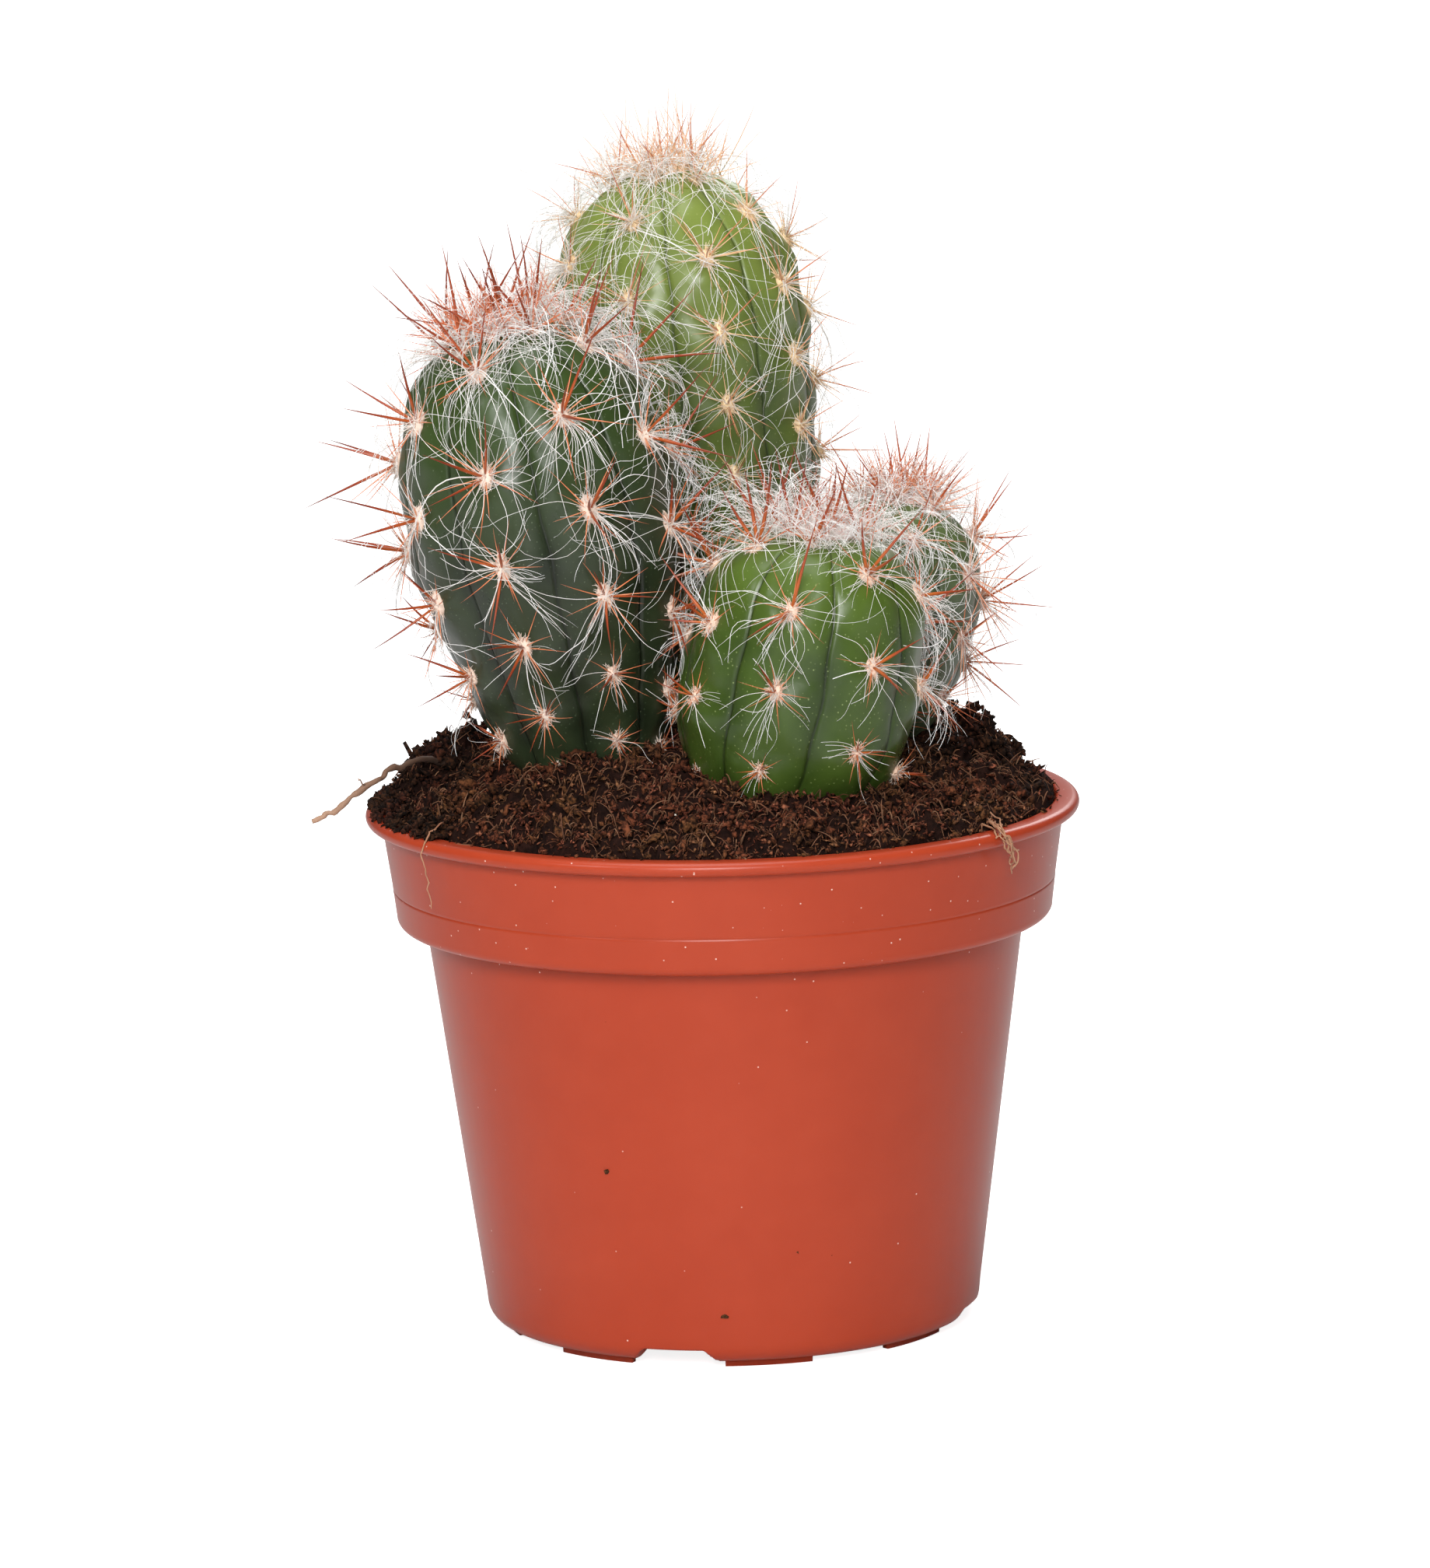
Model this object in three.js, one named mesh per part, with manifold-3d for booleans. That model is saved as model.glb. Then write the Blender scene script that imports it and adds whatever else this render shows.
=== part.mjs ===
// A round plastic nursery pot holding a small clump of columnar cactus: four ribbed stems of different
// heights standing in a mound of dark peat.
// Millimetres, +Z up. The origin is on the pot's axis, at the surface that the pot stands on.
// Round positions in plan are turns in degrees from the front (-Y), growing towards the right (+X).
import * as THREE from "three";
import { mergeVertices } from "three/addons/utils/BufferGeometryUtils.js";
import Module from "manifold-3d";

const wasm = await Module();
wasm.setup();

const GAP = 0.3; // clearance between pieces that rest on or in one another
const TURN = 2 * Math.PI;

// The pot: one moulding, with a wall of one thickness that steps outwards into a tall band under the lip.
const POT = {
  sides: 48,
  wall: 1.2,
  footHeight: 1.0, // the pads stand the foot ring this far off the surface
  plateUnder: 3.4, // underside of the base plate
  footInner: 37.0, // the foot ring's inner radius
  footDraft: 0.3,
  innerFillet: 0.9, // between the wall and the base plate, inside
  cornerRadius: 3.2, // rounding between the foot ring and the wall
  wallLow: 41.7, // outer radius where the rounding ends
  wallHigh: 50.25, // outer radius just under the band
  bandBottom: 69.0,
  bandLow: 55.2, // outer radius at the bottom of the band
  bandHigh: 57.2, // outer radius just under the lip
  bandRounding: 1.5,
  partingLine: 6.3, // height of the fine mould line above the band's bottom
  partingStep: 0.7, // the band has widened this much at the mould line
  lipRadius: 60.0,
  lipBottom: 86.3,
  lipTop: 88.7,
  lipChamfer: 0.7,
};

// Four drain notches cut the foot ring, and a pair of low pads stands between each two notches.
const DRAIN = {
  count: 4,
  reach: [34, 46], // from inside the foot ring to outside the wall
  firstTurn: -14.5,
  widthLow: 15.7,
  widthHigh: 9.8,
  holeRadius: 3.2, // a round hole through the base plate behind each notch
  holeReach: 29,
};
const PAD = { turns: [23, 67], spread: 22, inner: 37.1, outer: 38.4, sunk: 0.6 };

// The potting mix, heaped towards the stems.
const SOIL = { rings: [51, 45, 38, 30, 20, 10], rimHeight: 88.0, mound: 11.5, moundPower: 2.3 };

// Each stem leans from its foot to its tip, swells from a narrow waist to its belly and closes in a dome.
const STEMS = {
  tall_stem: {
    foot: [0.5, 27, 99],
    tip: [-7.8, 24, 192.6],
    bow: 0,
    radius: 21.8,
    waist: 0.8,
    flare: 1.6,
    belly: 0.7,
    dome: 2.1,
    ribs: 9,
    ribDepth: 0.07,
    firstRib: 18.5,
    colour: "#6d8f52",
  },
  left_stem: {
    foot: [-22.2, -8, 98],
    tip: [-35.8, -11, 169],
    bow: 0.8,
    radius: 23.1,
    waist: 0.58,
    flare: 1.15,
    belly: 0.48,
    dome: 2.6,
    ribs: 9,
    ribDepth: 0.07,
    firstRib: -18,
    colour: "#3f5a3c",
  },
  front_stem: {
    foot: [8.5, -22, 94],
    tip: [17.2, -24, 135],
    bow: 1.2,
    radius: 19.7,
    waist: 0.76,
    flare: 1.6,
    belly: 0.3,
    dome: 3.6,
    ribs: 8,
    ribDepth: 0.06,
    firstRib: -13,
    colour: "#68935a",
  },
  rear_stem: {
    foot: [26, 10, 98],
    tip: [31.5, 11, 137.6],
    bow: 0,
    radius: 15.2,
    waist: 0.6,
    flare: 1.6,
    belly: 0.56,
    dome: 2.4,
    ribs: 8,
    ribDepth: 0.07,
    firstRib: 10,
    colour: "#6f8568",
  },
};
const STEM_ROOT = 12; // length of each stem's tapered neck below the soil
const STEM_ROOT_TAPER = 0.45;
const STEM_STEPS = 13; // rings between the foot and the tip, crowded towards the tip
const RING_CROWDING = 1.7;
const NEARBY = 0.01; // share of the height over which a stem's direction is taken
const LAST_RING = 0.9985; // share of the height at which the dome closes in one point

// Young spines and wool crowd together on the top of each stem.
const CROWNS = {
  tall_stem: { start: 0.965, wool: 2.2, spines: 12, length: 9.5, colour: "#e8c4a8" },
  left_stem: { start: 0.95, wool: 2.4, spines: 12, length: 13, colour: "#d79a86" },
  front_stem: { start: 0.94, wool: 2.2, spines: 10, length: 11, colour: "#e3b6a6" },
  rear_stem: { start: 0.93, wool: 2.4, spines: 9, length: 9, colour: "#dfb8ae" },
};
const SPINE_RADIUS = 0.6;
const SPINE_LEAN = 1.05; // radians from the crown's axis that the outermost spines lean
const GOLDEN_TURN = TURN * 0.381966;

// Two lumps of coarse peat sit on the edge of the mix, and loose bits of root and twig lie over the lip.
const LUMPS = {
  peat_lump_left: { centre: [-44, 5, 92.6], size: [11, 11.5, 7.4], wobble: 0.14 },
  peat_lump_right: { centre: [42, 14, 92.4], size: [10, 11.5, 7.6], wobble: 0.14 },
};
const TWIG = {
  thickness: 1.2,
  route: [
    [-44.5, -3.5, 96.2],
    [-48.5, -8, 97.3],
    [-52.5, -11.5, 96.4],
    [-56.5, -14, 95.2],
    [-59.6, -16, 93.1],
    [-61.6, -17.4, 91.5],
  ],
};
const RIM_ROOT = {
  thickness: 0.9,
  route: [
    [41.5, -20, 92.4],
    [42.5, -26, 91.2],
    [43.5, -32, 90.2],
    [44.6, -37, 89.8],
    [46.0, -39.7, 88.9],
    [46.6, -40, 87.2],
    [47.3, -38, 85],
    [47.9, -36, 82.8],
  ],
};

const COLOUR = { pot: "#c8523c", soil: "#3b2620", lump: "#33211c", twig: "#a07c58", root: "#c9a888" };

// A closed geometry as a manifold-3d solid, and back again.
function solid(geometry) {
  const bare = geometry.clone();
  bare.deleteAttribute("normal");
  bare.deleteAttribute("uv");
  const merged = mergeVertices(bare, 1e-4);
  const mesh = new wasm.Mesh({
    numProp: 3,
    vertProperties: merged.attributes.position.array,
    triVerts: new Uint32Array(merged.index.array),
  });
  return new wasm.Manifold(mesh);
}

function geometryOf(body) {
  const mesh = body.getMesh();
  const geometry = new THREE.BufferGeometry();
  geometry.setAttribute("position", new THREE.BufferAttribute(mesh.vertProperties, 3));
  geometry.setIndex(new THREE.BufferAttribute(mesh.triVerts, 1));
  geometry.computeVertexNormals();
  return geometry;
}

// A profile of [radius, height] points turned about +Z; turn 0 is the front.
function turned(profile, sides) {
  const points = profile.map(([radius, height]) => new THREE.Vector2(radius, height));
  return new THREE.LatheGeometry(points, sides).rotateX(TURN / 4);
}

// Moves each point of a geometry to the place that the function gives for it.
function reshaped(geometry, place) {
  const position = geometry.attributes.position;
  const point = new THREE.Vector3();
  for (let i = 0; i < position.count; i++) {
    point.fromBufferAttribute(position, i);
    const moved = place(point);
    position.setXYZ(i, moved.x, moved.y, moved.z);
  }
  return geometry;
}

// Points of an arc in a profile, from one angle to another in quarter turns about its centre.
function arc(centreRadius, centreHeight, radius, from, to, steps) {
  return Array.from({ length: steps + 1 }, (_, i) => {
    const angle = ((from + ((to - from) * i) / steps) * TURN) / 4;
    return [centreRadius + radius * Math.cos(angle), centreHeight + radius * Math.sin(angle)];
  });
}

function potProfile() {
  const { wall, plateUnder, cornerRadius, bandBottom, bandRounding, lipRadius, lipBottom, lipTop } = POT;
  const bead = (lipTop - lipBottom) / 2;
  const innerStep = bandBottom + wall;
  const innerLow = POT.wallLow - wall;
  return [
    [0, plateUnder],
    [POT.footInner - POT.footDraft, plateUnder],
    [POT.footInner, POT.footHeight],
    ...arc(POT.wallLow - cornerRadius, POT.footHeight + cornerRadius, cornerRadius, -1, -0.1, 3),
    [POT.wallHigh, bandBottom],
    ...arc(POT.bandLow - bandRounding, bandBottom + bandRounding, bandRounding, -1, 0, 2),
    [POT.bandLow + POT.partingStep, bandBottom + POT.partingLine],
    [POT.bandHigh, lipBottom],
    ...arc(lipRadius - bead, lipBottom + bead, bead, -1, 1, 4),
    [POT.bandHigh - wall + POT.lipChamfer, lipTop],
    [POT.bandHigh - wall, lipTop - POT.lipChamfer],
    [POT.bandLow - wall, innerStep],
    [POT.wallHigh - wall, innerStep],
    [innerLow, plateUnder + wall + POT.innerFillet],
    [innerLow - POT.innerFillet, plateUnder + wall],
    [0, plateUnder + wall],
  ];
}

// The wedge that one drain notch takes out of the foot ring and the corner of the wall.
function notchWedge(turn) {
  const top = POT.plateUnder;
  const outline = new THREE.Shape([
    new THREE.Vector2(-DRAIN.widthLow / 2, 0),
    new THREE.Vector2(DRAIN.widthLow / 2, 0),
    new THREE.Vector2(DRAIN.widthHigh / 2, top),
    new THREE.Vector2(-DRAIN.widthHigh / 2, top),
  ]);
  const [inner, outer] = DRAIN.reach;
  const wedge = new THREE.ExtrudeGeometry(outline, { depth: outer - inner, bevelEnabled: false });
  wedge.rotateX(TURN / 4).translate(0, -inner, 0);
  return solid(wedge.rotateZ((turn * TURN) / 360));
}

function drainHole(turn) {
  const depth = 4 * POT.wall;
  const hole = new THREE.CylinderGeometry(DRAIN.holeRadius, DRAIN.holeRadius, depth, 16).rotateX(TURN / 4);
  hole.translate(0, -DRAIN.holeReach, POT.plateUnder);
  return solid(hole.rotateZ((turn * TURN) / 360));
}

// A low pad under the foot ring, a short arc of it, a little sunk into the ring.
function footPad(turn) {
  const half = ((PAD.spread / 2) * TURN) / 360;
  const middle = -TURN / 4;
  const outline = new THREE.Shape();
  outline.absarc(0, 0, PAD.outer, middle - half, middle + half, false);
  outline.absarc(0, 0, PAD.inner, middle + half, middle - half, true);
  const depth = POT.footHeight + PAD.sunk;
  const pad = new THREE.ExtrudeGeometry(outline, { depth, bevelEnabled: false, curveSegments: 4 });
  return solid(pad.rotateZ((turn * TURN) / 360));
}

function potSolid() {
  const quarter = 360 / DRAIN.count;
  let pot = solid(turned(potProfile(), POT.sides));
  for (let i = 0; i < DRAIN.count; i++) {
    const turn = DRAIN.firstTurn + i * quarter;
    pot = pot.subtract(notchWedge(turn)).subtract(drainHole(turn));
    for (const offset of PAD.turns) pot = pot.add(footPad(turn + offset));
  }
  return pot;
}

// Height of the soil's surface: a round mound that falls away faster towards the pot's wall.
function soilHeight(x, y) {
  const share = Math.min(1, Math.hypot(x, y) / (POT.bandHigh - POT.wall));
  return SOIL.rimHeight + SOIL.mound * (1 - share ** SOIL.moundPower);
}

function soilBlock() {
  const inner = POT.wall + GAP;
  const edge = POT.bandHigh - inner;
  const bottom = POT.plateUnder + inner;
  const ledge = POT.bandBottom + inner;
  const profile = [
    [0, bottom],
    [POT.wallLow - inner - 1, bottom],
    [POT.wallLow - inner, bottom + 1],
    [POT.wallHigh - inner, ledge],
    [POT.bandLow - inner, ledge],
    [edge, SOIL.rimHeight - 1],
    ...[edge - 0.6, ...SOIL.rings, 0].map((radius) => [radius, soilHeight(radius, 0)]),
  ];
  return solid(turned(profile, POT.sides - 8));
}

// Share of a stem's full radius at a share of its height: 0 at the soil, 1 at the tip.
function swell(stem, share) {
  if (share < stem.belly) return 1 - (1 - stem.waist) * ((stem.belly - share) / stem.belly) ** stem.flare;
  const climb = (share - stem.belly) / (1 - stem.belly);
  return Math.max(0, 1 - climb ** stem.dome) ** (1 / stem.dome);
}

// A point of the stem's middle line, which bows sideways by stem.bow half way up.
function middlePoint(stem, share) {
  const point = new THREE.Vector3(...stem.foot).lerp(new THREE.Vector3(...stem.tip), share);
  point.x += stem.bow * 4 * share * (1 - share);
  return point;
}

function stemLength(stem) {
  return new THREE.Vector3(...stem.foot).distanceTo(new THREE.Vector3(...stem.tip));
}

// The shares of the height at which a stem's rings lie, closer together towards the tip.
function ringShares(stem) {
  const shares = Array.from({ length: STEM_STEPS }, (_, i) => 1 - (1 - i / STEM_STEPS) ** RING_CROWDING);
  return [-STEM_ROOT / stemLength(stem), ...shares, LAST_RING];
}

// Radius of a stem before its ribs are cut in; below the soil it tapers to a rounded neck.
function stemRadius(stem, share) {
  if (share >= 0) return stem.radius * swell(stem, share);
  const depth = (-share * stemLength(stem)) / STEM_ROOT;
  return stem.radius * stem.waist * (1 - STEM_ROOT_TAPER * depth ** 2);
}

function ribFactor(stem, turn) {
  const phase = (stem.ribs * (turn - (stem.firstRib * TURN) / 360)) / 2;
  return 1 - stem.ribDepth * (1 - Math.abs(Math.cos(phase)));
}

// A ribbed stem.
function stemSolid(stem, grow = 0, sides = stem.ribs * 4) {
  const length = stemLength(stem);
  const shares = ringShares(stem);
  const low = shares[0] - grow / length;
  const top = 1 + grow / length;
  const profile = [[0, low], ...shares.map((share) => [stemRadius(stem, share) + grow, share]), [0, top]];
  profile[1][1] = low;
  const turnOver = new THREE.Quaternion();
  const up = new THREE.Vector3(0, 0, 1);
  const geometry = reshaped(turned(profile, sides), (point) => {
    const share = point.z;
    const radius = Math.hypot(point.x, point.y) * ribFactor(stem, Math.atan2(point.x, -point.y));
    const outward = new THREE.Vector3(point.x, point.y, 0).setLength(radius);
    const along = middlePoint(stem, share + NEARBY).sub(middlePoint(stem, share - NEARBY));
    turnOver.setFromUnitVectors(up, along.normalize());
    return middlePoint(stem, share).add(outward.applyQuaternion(turnOver));
  });
  return solid(geometry);
}

// The room that a stem takes up in what lies round it: the stem without its furrows, and a gap larger.
function stemRoom(stem) {
  return stemSolid({ ...stem, ribDepth: 0 }, GAP * 1.5, 18);
}

// One spine: a slim cone standing on `from`, pointing along `direction`.
function spineCone(from, direction, length) {
  const cone = new THREE.ConeGeometry(SPINE_RADIUS, length, 4).translate(0, length / 2, 0);
  cone.applyQuaternion(new THREE.Quaternion().setFromUnitVectors(new THREE.Vector3(0, 1, 0), direction));
  return solid(cone.translate(from.x, from.y, from.z));
}

// The crown of a stem: a cap of wool over the dome, with young spines fanning out of it.
function crownSolid(stem, crown) {
  const tip = middlePoint(stem, 1);
  const start = middlePoint(stem, crown.start);
  const axis = tip.clone().sub(start).normalize();
  const reach = stemRadius(stem, crown.start);
  const height = tip.distanceTo(start) + crown.wool;
  const cap = new THREE.SphereGeometry(1, 14, 8);
  cap.scale(reach, reach, height);
  cap.applyQuaternion(new THREE.Quaternion().setFromUnitVectors(new THREE.Vector3(0, 0, 1), axis));
  let body = solid(cap.translate(start.x, start.y, start.z));
  const side = new THREE.Vector3(1, 0, 0).cross(axis).normalize();
  for (let i = 0; i < crown.spines; i++) {
    const lean = SPINE_LEAN * Math.sqrt((i + 0.5) / crown.spines);
    const direction = axis.clone().applyAxisAngle(side, lean).applyAxisAngle(axis, i * GOLDEN_TURN);
    // the root lies half way up and half way out inside the wool, so the wool holds the spine
    const root = start.clone().addScaledVector(axis, (height / 2) * Math.cos(lean));
    root.addScaledVector(direction.clone().projectOnPlane(axis), reach / 2);
    const length = crown.length * (1.2 - 0.35 * lean) + height / 2;
    body = body.add(spineCone(root, direction, length));
  }
  return body.subtract(stemRoom(stem));
}

// A lump of peat: a ball squashed to its three half sizes, with a lumpy surface.
function lumpSolid({ centre, size, wobble }, grow = 0) {
  const ball = new THREE.IcosahedronGeometry(1, 2);
  const [x, y, z] = centre;
  const geometry = reshaped(ball, (point) => {
    const waves = Math.sin(5.1 * point.x + 1.3) * Math.sin(4.3 * point.y + 0.6) * Math.cos(4.7 * point.z);
    point.multiplyScalar(1 + wobble * waves);
    const rough = new THREE.Vector3(point.x * size[0], point.y * size[1], point.z * size[2]);
    return rough.setLength(rough.length() + grow).add(new THREE.Vector3(x, y, z));
  });
  return solid(geometry);
}

// A strand: a round section carried along a smooth curve through the route's points.
function strandSolid({ thickness, route }, grow = 0) {
  const section = new THREE.Shape().absarc(0, 0, thickness / 2 + grow, 0, TURN, false);
  const extrudePath = new THREE.CatmullRomCurve3(route.map((point) => new THREE.Vector3(...point)));
  const steps = (route.length - 1) * 2;
  return solid(new THREE.ExtrudeGeometry(section, { steps, extrudePath, curveSegments: 3 }));
}

const group = new THREE.Group();

function addPiece(name, body, color, roughness = 0.9) {
  const material = new THREE.MeshStandardMaterial({ color, roughness, metalness: 0 });
  const mesh = new THREE.Mesh(geometryOf(body), material);
  mesh.name = name;
  group.add(mesh);
}

addPiece("pot", potSolid(), COLOUR.pot, 0.35);

const stemRooms = Object.values(STEMS).map(stemRoom);
const strandRooms = [TWIG, RIM_ROOT].map((strand) => strandSolid(strand, GAP));
const lumpRooms = Object.values(LUMPS).map((lump) => lumpSolid(lump, GAP));

function cutAway(body, rooms) {
  return rooms.reduce((left, room) => left.subtract(room), body);
}

addPiece("soil", cutAway(soilBlock(), [...stemRooms, ...strandRooms, ...lumpRooms]), COLOUR.soil, 0.95);

for (const [name, stem] of Object.entries(STEMS)) {
  addPiece(name, stemSolid(stem), stem.colour, 0.5);
  addPiece(name.replace("stem", "crown"), crownSolid(stem, CROWNS[name]), CROWNS[name].colour, 0.8);
}

for (const [name, lump] of Object.entries(LUMPS)) {
  addPiece(name, cutAway(lumpSolid(lump), [...stemRooms, ...strandRooms]), COLOUR.lump, 0.95);
}
addPiece("twig", strandSolid(TWIG), COLOUR.twig, 0.8);
addPiece("rim_root", strandSolid(RIM_ROOT), COLOUR.root, 0.8);

export default group;
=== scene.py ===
"""A clump of columnar cactus in a round plastic pot.

The sections follow the object as it is potted up: the pot, the peat, the stems, the felt cushions on their
ribs, the spines, the hairs, the crowns, and last the loose twig and root. Lengths inside the sections are
millimetres in the part's own frame, and turns are measured from the front (-Y) towards the right (+X).
"""

import bpy
import numpy as np
from mathutils import Matrix, Vector


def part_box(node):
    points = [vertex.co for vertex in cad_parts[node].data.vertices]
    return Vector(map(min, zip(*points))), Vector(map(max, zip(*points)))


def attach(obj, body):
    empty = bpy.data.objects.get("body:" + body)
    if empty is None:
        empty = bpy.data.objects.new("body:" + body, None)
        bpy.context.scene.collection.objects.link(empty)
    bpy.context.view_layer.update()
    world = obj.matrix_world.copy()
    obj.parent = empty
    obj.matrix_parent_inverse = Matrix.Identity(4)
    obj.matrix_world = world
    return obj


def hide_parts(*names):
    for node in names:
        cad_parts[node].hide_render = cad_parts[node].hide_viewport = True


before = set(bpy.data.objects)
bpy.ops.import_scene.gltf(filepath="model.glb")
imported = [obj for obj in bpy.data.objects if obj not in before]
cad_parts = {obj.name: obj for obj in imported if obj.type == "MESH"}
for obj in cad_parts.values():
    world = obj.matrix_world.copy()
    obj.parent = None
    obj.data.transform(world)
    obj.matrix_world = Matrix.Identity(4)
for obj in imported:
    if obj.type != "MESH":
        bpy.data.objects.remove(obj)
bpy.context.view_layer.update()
MM = 0.001

# ------------------------------------------------------------------ camera
# A long lens about a metre and a half in front of the pot, tipped down a little and not quite level. It looks
# at a place a little to the left of the pot's axis, near its lip.
CAMERA_AIM = Vector((-1.16, 0, 91.24)) * MM
CAMERA_DISTANCE = 1544.6 * MM
CAMERA_TILT = np.radians(9.96)
CAMERA_ROLL = np.radians(-1.35)

camera = bpy.data.objects.new("camera", bpy.data.cameras.new("camera"))
bpy.context.scene.collection.objects.link(camera)
bpy.context.scene.camera = camera
camera.data.sensor_width = 36
camera.data.lens = 211
camera.location = CAMERA_AIM + CAMERA_DISTANCE * Vector((0, -np.cos(CAMERA_TILT), np.sin(CAMERA_TILT)))
facing = Matrix.Rotation(np.pi / 2 - CAMERA_TILT, 4, "X") @ Matrix.Rotation(CAMERA_ROLL, 4, "Z")
camera.rotation_euler = facing.to_euler()


# ------------------------------------------------------------------ floor and studio light
# A wide pale table under large soft lights: one in front, one overhead, one high at the left, and
# weaker ones at the right and behind.
def paint(code):
    """A colour written as six hex digits, as the linear numbers that shaders take."""
    parts = np.array([int(code[i : i + 2], 16) for i in (1, 3, 5)]) / 255
    linear = np.where(parts > 0.04045, ((parts + 0.055) / 1.055) ** 2.4, parts / 12.92)
    return (*linear.tolist(), 1.0)


def add_node(tree, kind, inputs=None, **settings):
    """A node with its settings, and each named input linked to a socket or set to a value."""
    made = tree.nodes.new(kind)
    for name, value in settings.items():
        setattr(made, name, value)
    for name, value in (inputs or {}).items():
        if isinstance(value, bpy.types.NodeSocket):
            tree.links.new(value, made.inputs[name])
        else:
            made.inputs[name].default_value = value
    return made


def add_math(tree, operation, first, second=0.0, **settings):
    """The result of a Math node on two sockets or values."""
    return add_node(tree, "ShaderNodeMath", {0: first, 1: second}, operation=operation, **settings).outputs[0]


def add_range(tree, value, low, high, to_low=0.0, to_high=1.0):
    """A value from low to high carried over to the range from to_low to to_high, and held at its ends."""
    ends = {"Value": value, "From Min": low, "From Max": high, "To Min": to_low, "To Max": to_high}
    return add_node(tree, "ShaderNodeMapRange", ends).outputs[0]


def new_material(name, **sockets):
    """A material with one Principled shader, and the values of its sockets that stay constant."""
    material = bpy.data.materials.new(name)
    material.use_nodes = True
    shader = material.node_tree.nodes["Principled BSDF"]
    for socket, value in sockets.items():
        shader.inputs[socket.replace("_", " ")].default_value = value
    return material, material.node_tree, shader


def new_mesh_object(name, points, faces, smooth=True):
    """A mesh object from points in millimetres and a list of face arrays, each with one number of corners."""
    mesh = bpy.data.meshes.new(name)
    corners = np.concatenate([part.ravel() for part in faces]).astype(np.int32)
    sizes = np.concatenate([np.full(len(part), part.shape[1]) for part in faces])
    starts = np.concatenate([[0], np.cumsum(sizes)[:-1]]).astype(np.int32)
    mesh.vertices.add(len(points))
    mesh.vertices.foreach_set("co", (points * MM).astype(np.float32).ravel())
    mesh.loops.add(len(corners))
    mesh.loops.foreach_set("vertex_index", corners)
    mesh.polygons.add(len(sizes))
    mesh.polygons.foreach_set("loop_start", starts)
    mesh.polygons.foreach_set("use_smooth", np.full(len(sizes), smooth))
    mesh.update(calc_edges=True)
    made = bpy.data.objects.new(name, mesh)
    bpy.context.scene.collection.objects.link(made)
    return made


def plan(reach, turn):
    """x and y of a place at a reach from an upright axis: reach times the sine of the turn, and less reach
    times its cosine."""
    return reach * np.sin(turn), -reach * np.cos(turn)


def full_turn(sides):
    """Evenly spaced turns once round an axis, without the last that would meet the first."""
    return np.linspace(0, 2 * np.pi, sides, endpoint=False)


def soft_light(name, place, width, height, power):
    """An upright area light that looks at the middle of the plant."""
    lamp = bpy.data.lights.new(name, "AREA")
    lamp.shape = "RECTANGLE"
    lamp.size = width
    lamp.size_y = height
    lamp.energy = power
    made = bpy.data.objects.new(name, lamp)
    bpy.context.scene.collection.objects.link(made)
    made.location = place
    made.rotation_euler = (Vector(place) - CAMERA_AIM).to_track_quat("Z", "Y").to_euler()
    made.visible_camera = False


WHITE = (1, 1, 1, 1)
FLOOR_GREY = (0.75, 0.75, 0.75, 1)
FLOOR_GLOW = 0.85
FLOOR_RADIUS = 9000
FLOOR_SIDES = 96
floor_turns = full_turn(FLOOR_SIDES)
floor_edge = np.stack([*plan(FLOOR_RADIUS, floor_turns), 0 * floor_turns], -1)
floor = new_mesh_object("floor", floor_edge, [np.arange(FLOOR_SIDES)[None, :]], smooth=False)
floor_material, floor_tree, floor_shader = new_material(
    "pale_floor", Base_Color=FLOOR_GREY, Roughness=0.7, Emission_Color=WHITE
)
seen = add_node(floor_tree, "ShaderNodeLightPath").outputs["Is Camera Ray"]
floor_glow = add_math(floor_tree, "MULTIPLY", seen, FLOOR_GLOW)
floor_tree.links.new(floor_glow, floor_shader.inputs["Emission Strength"])
floor.data.materials.append(floor_material)

world = bpy.data.worlds.new("studio")
bpy.context.scene.world = world
world.use_nodes = True
sky = world.node_tree
backdrop = sky.nodes["Background"]
backdrop.inputs["Color"].default_value = WHITE
toward = add_node(sky, "ShaderNodeTexCoord").outputs["Generated"]
sideways = add_node(sky, "ShaderNodeSeparateXYZ", {"Vector": toward}).outputs["X"]
dimming = add_range(sky, add_math(sky, "ABSOLUTE", sideways), 0.15, 0.65, 0.34, 0.05)
in_view = add_node(sky, "ShaderNodeLightPath").outputs["Is Camera Ray"]
sky.links.new(add_math(sky, "MAXIMUM", dimming, in_view), backdrop.inputs["Strength"])
bpy.context.scene.view_settings.view_transform = "Standard"

soft_light("front_light", (-0.15, -2.0, 0.95), 0.7, 0.7, 36)
soft_light("top_light", (-0.1, -0.15, 1.9), 1.2, 1.2, 21)
soft_light("left_light", (-1.35, -1.25, 1.35), 0.3, 0.5, 8)
soft_light("right_light", (1.6, -1.1, 0.5), 0.2, 0.5, 0.6)
soft_light("back_light", (0.6, 1.9, 1.1), 0.8, 0.8, 9)


# ------------------------------------------------------------------ pot
# One injection moulding of thin terracotta-red plastic: a rolled lip, a tall band with a fine mould line,
# a tapered wall and a foot ring with four drain notches and eight low pads.
def ringed_faces(rings, sides):
    """Faces of a closed skin of rings between two end points. The points are the first end, each ring in
    turn, and the last end. Each side of each ring is a four-cornered face, and each end is a fan."""
    column = np.arange(sides)
    after = (column + 1) % sides
    start = 1 + np.arange(rings - 1)[:, None] * sides
    quads = np.stack([start + column, start + after, start + sides + after, start + sides + column], -1)
    last = 1 + (rings - 1) * sides
    low_fan = np.stack([0 * column, 1 + after, 1 + column], -1)
    high_fan = np.stack([last + column, last + after, 0 * column + last + sides], -1)
    return [quads.reshape(-1, 4), np.concatenate([low_fan, high_fan])]


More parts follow.
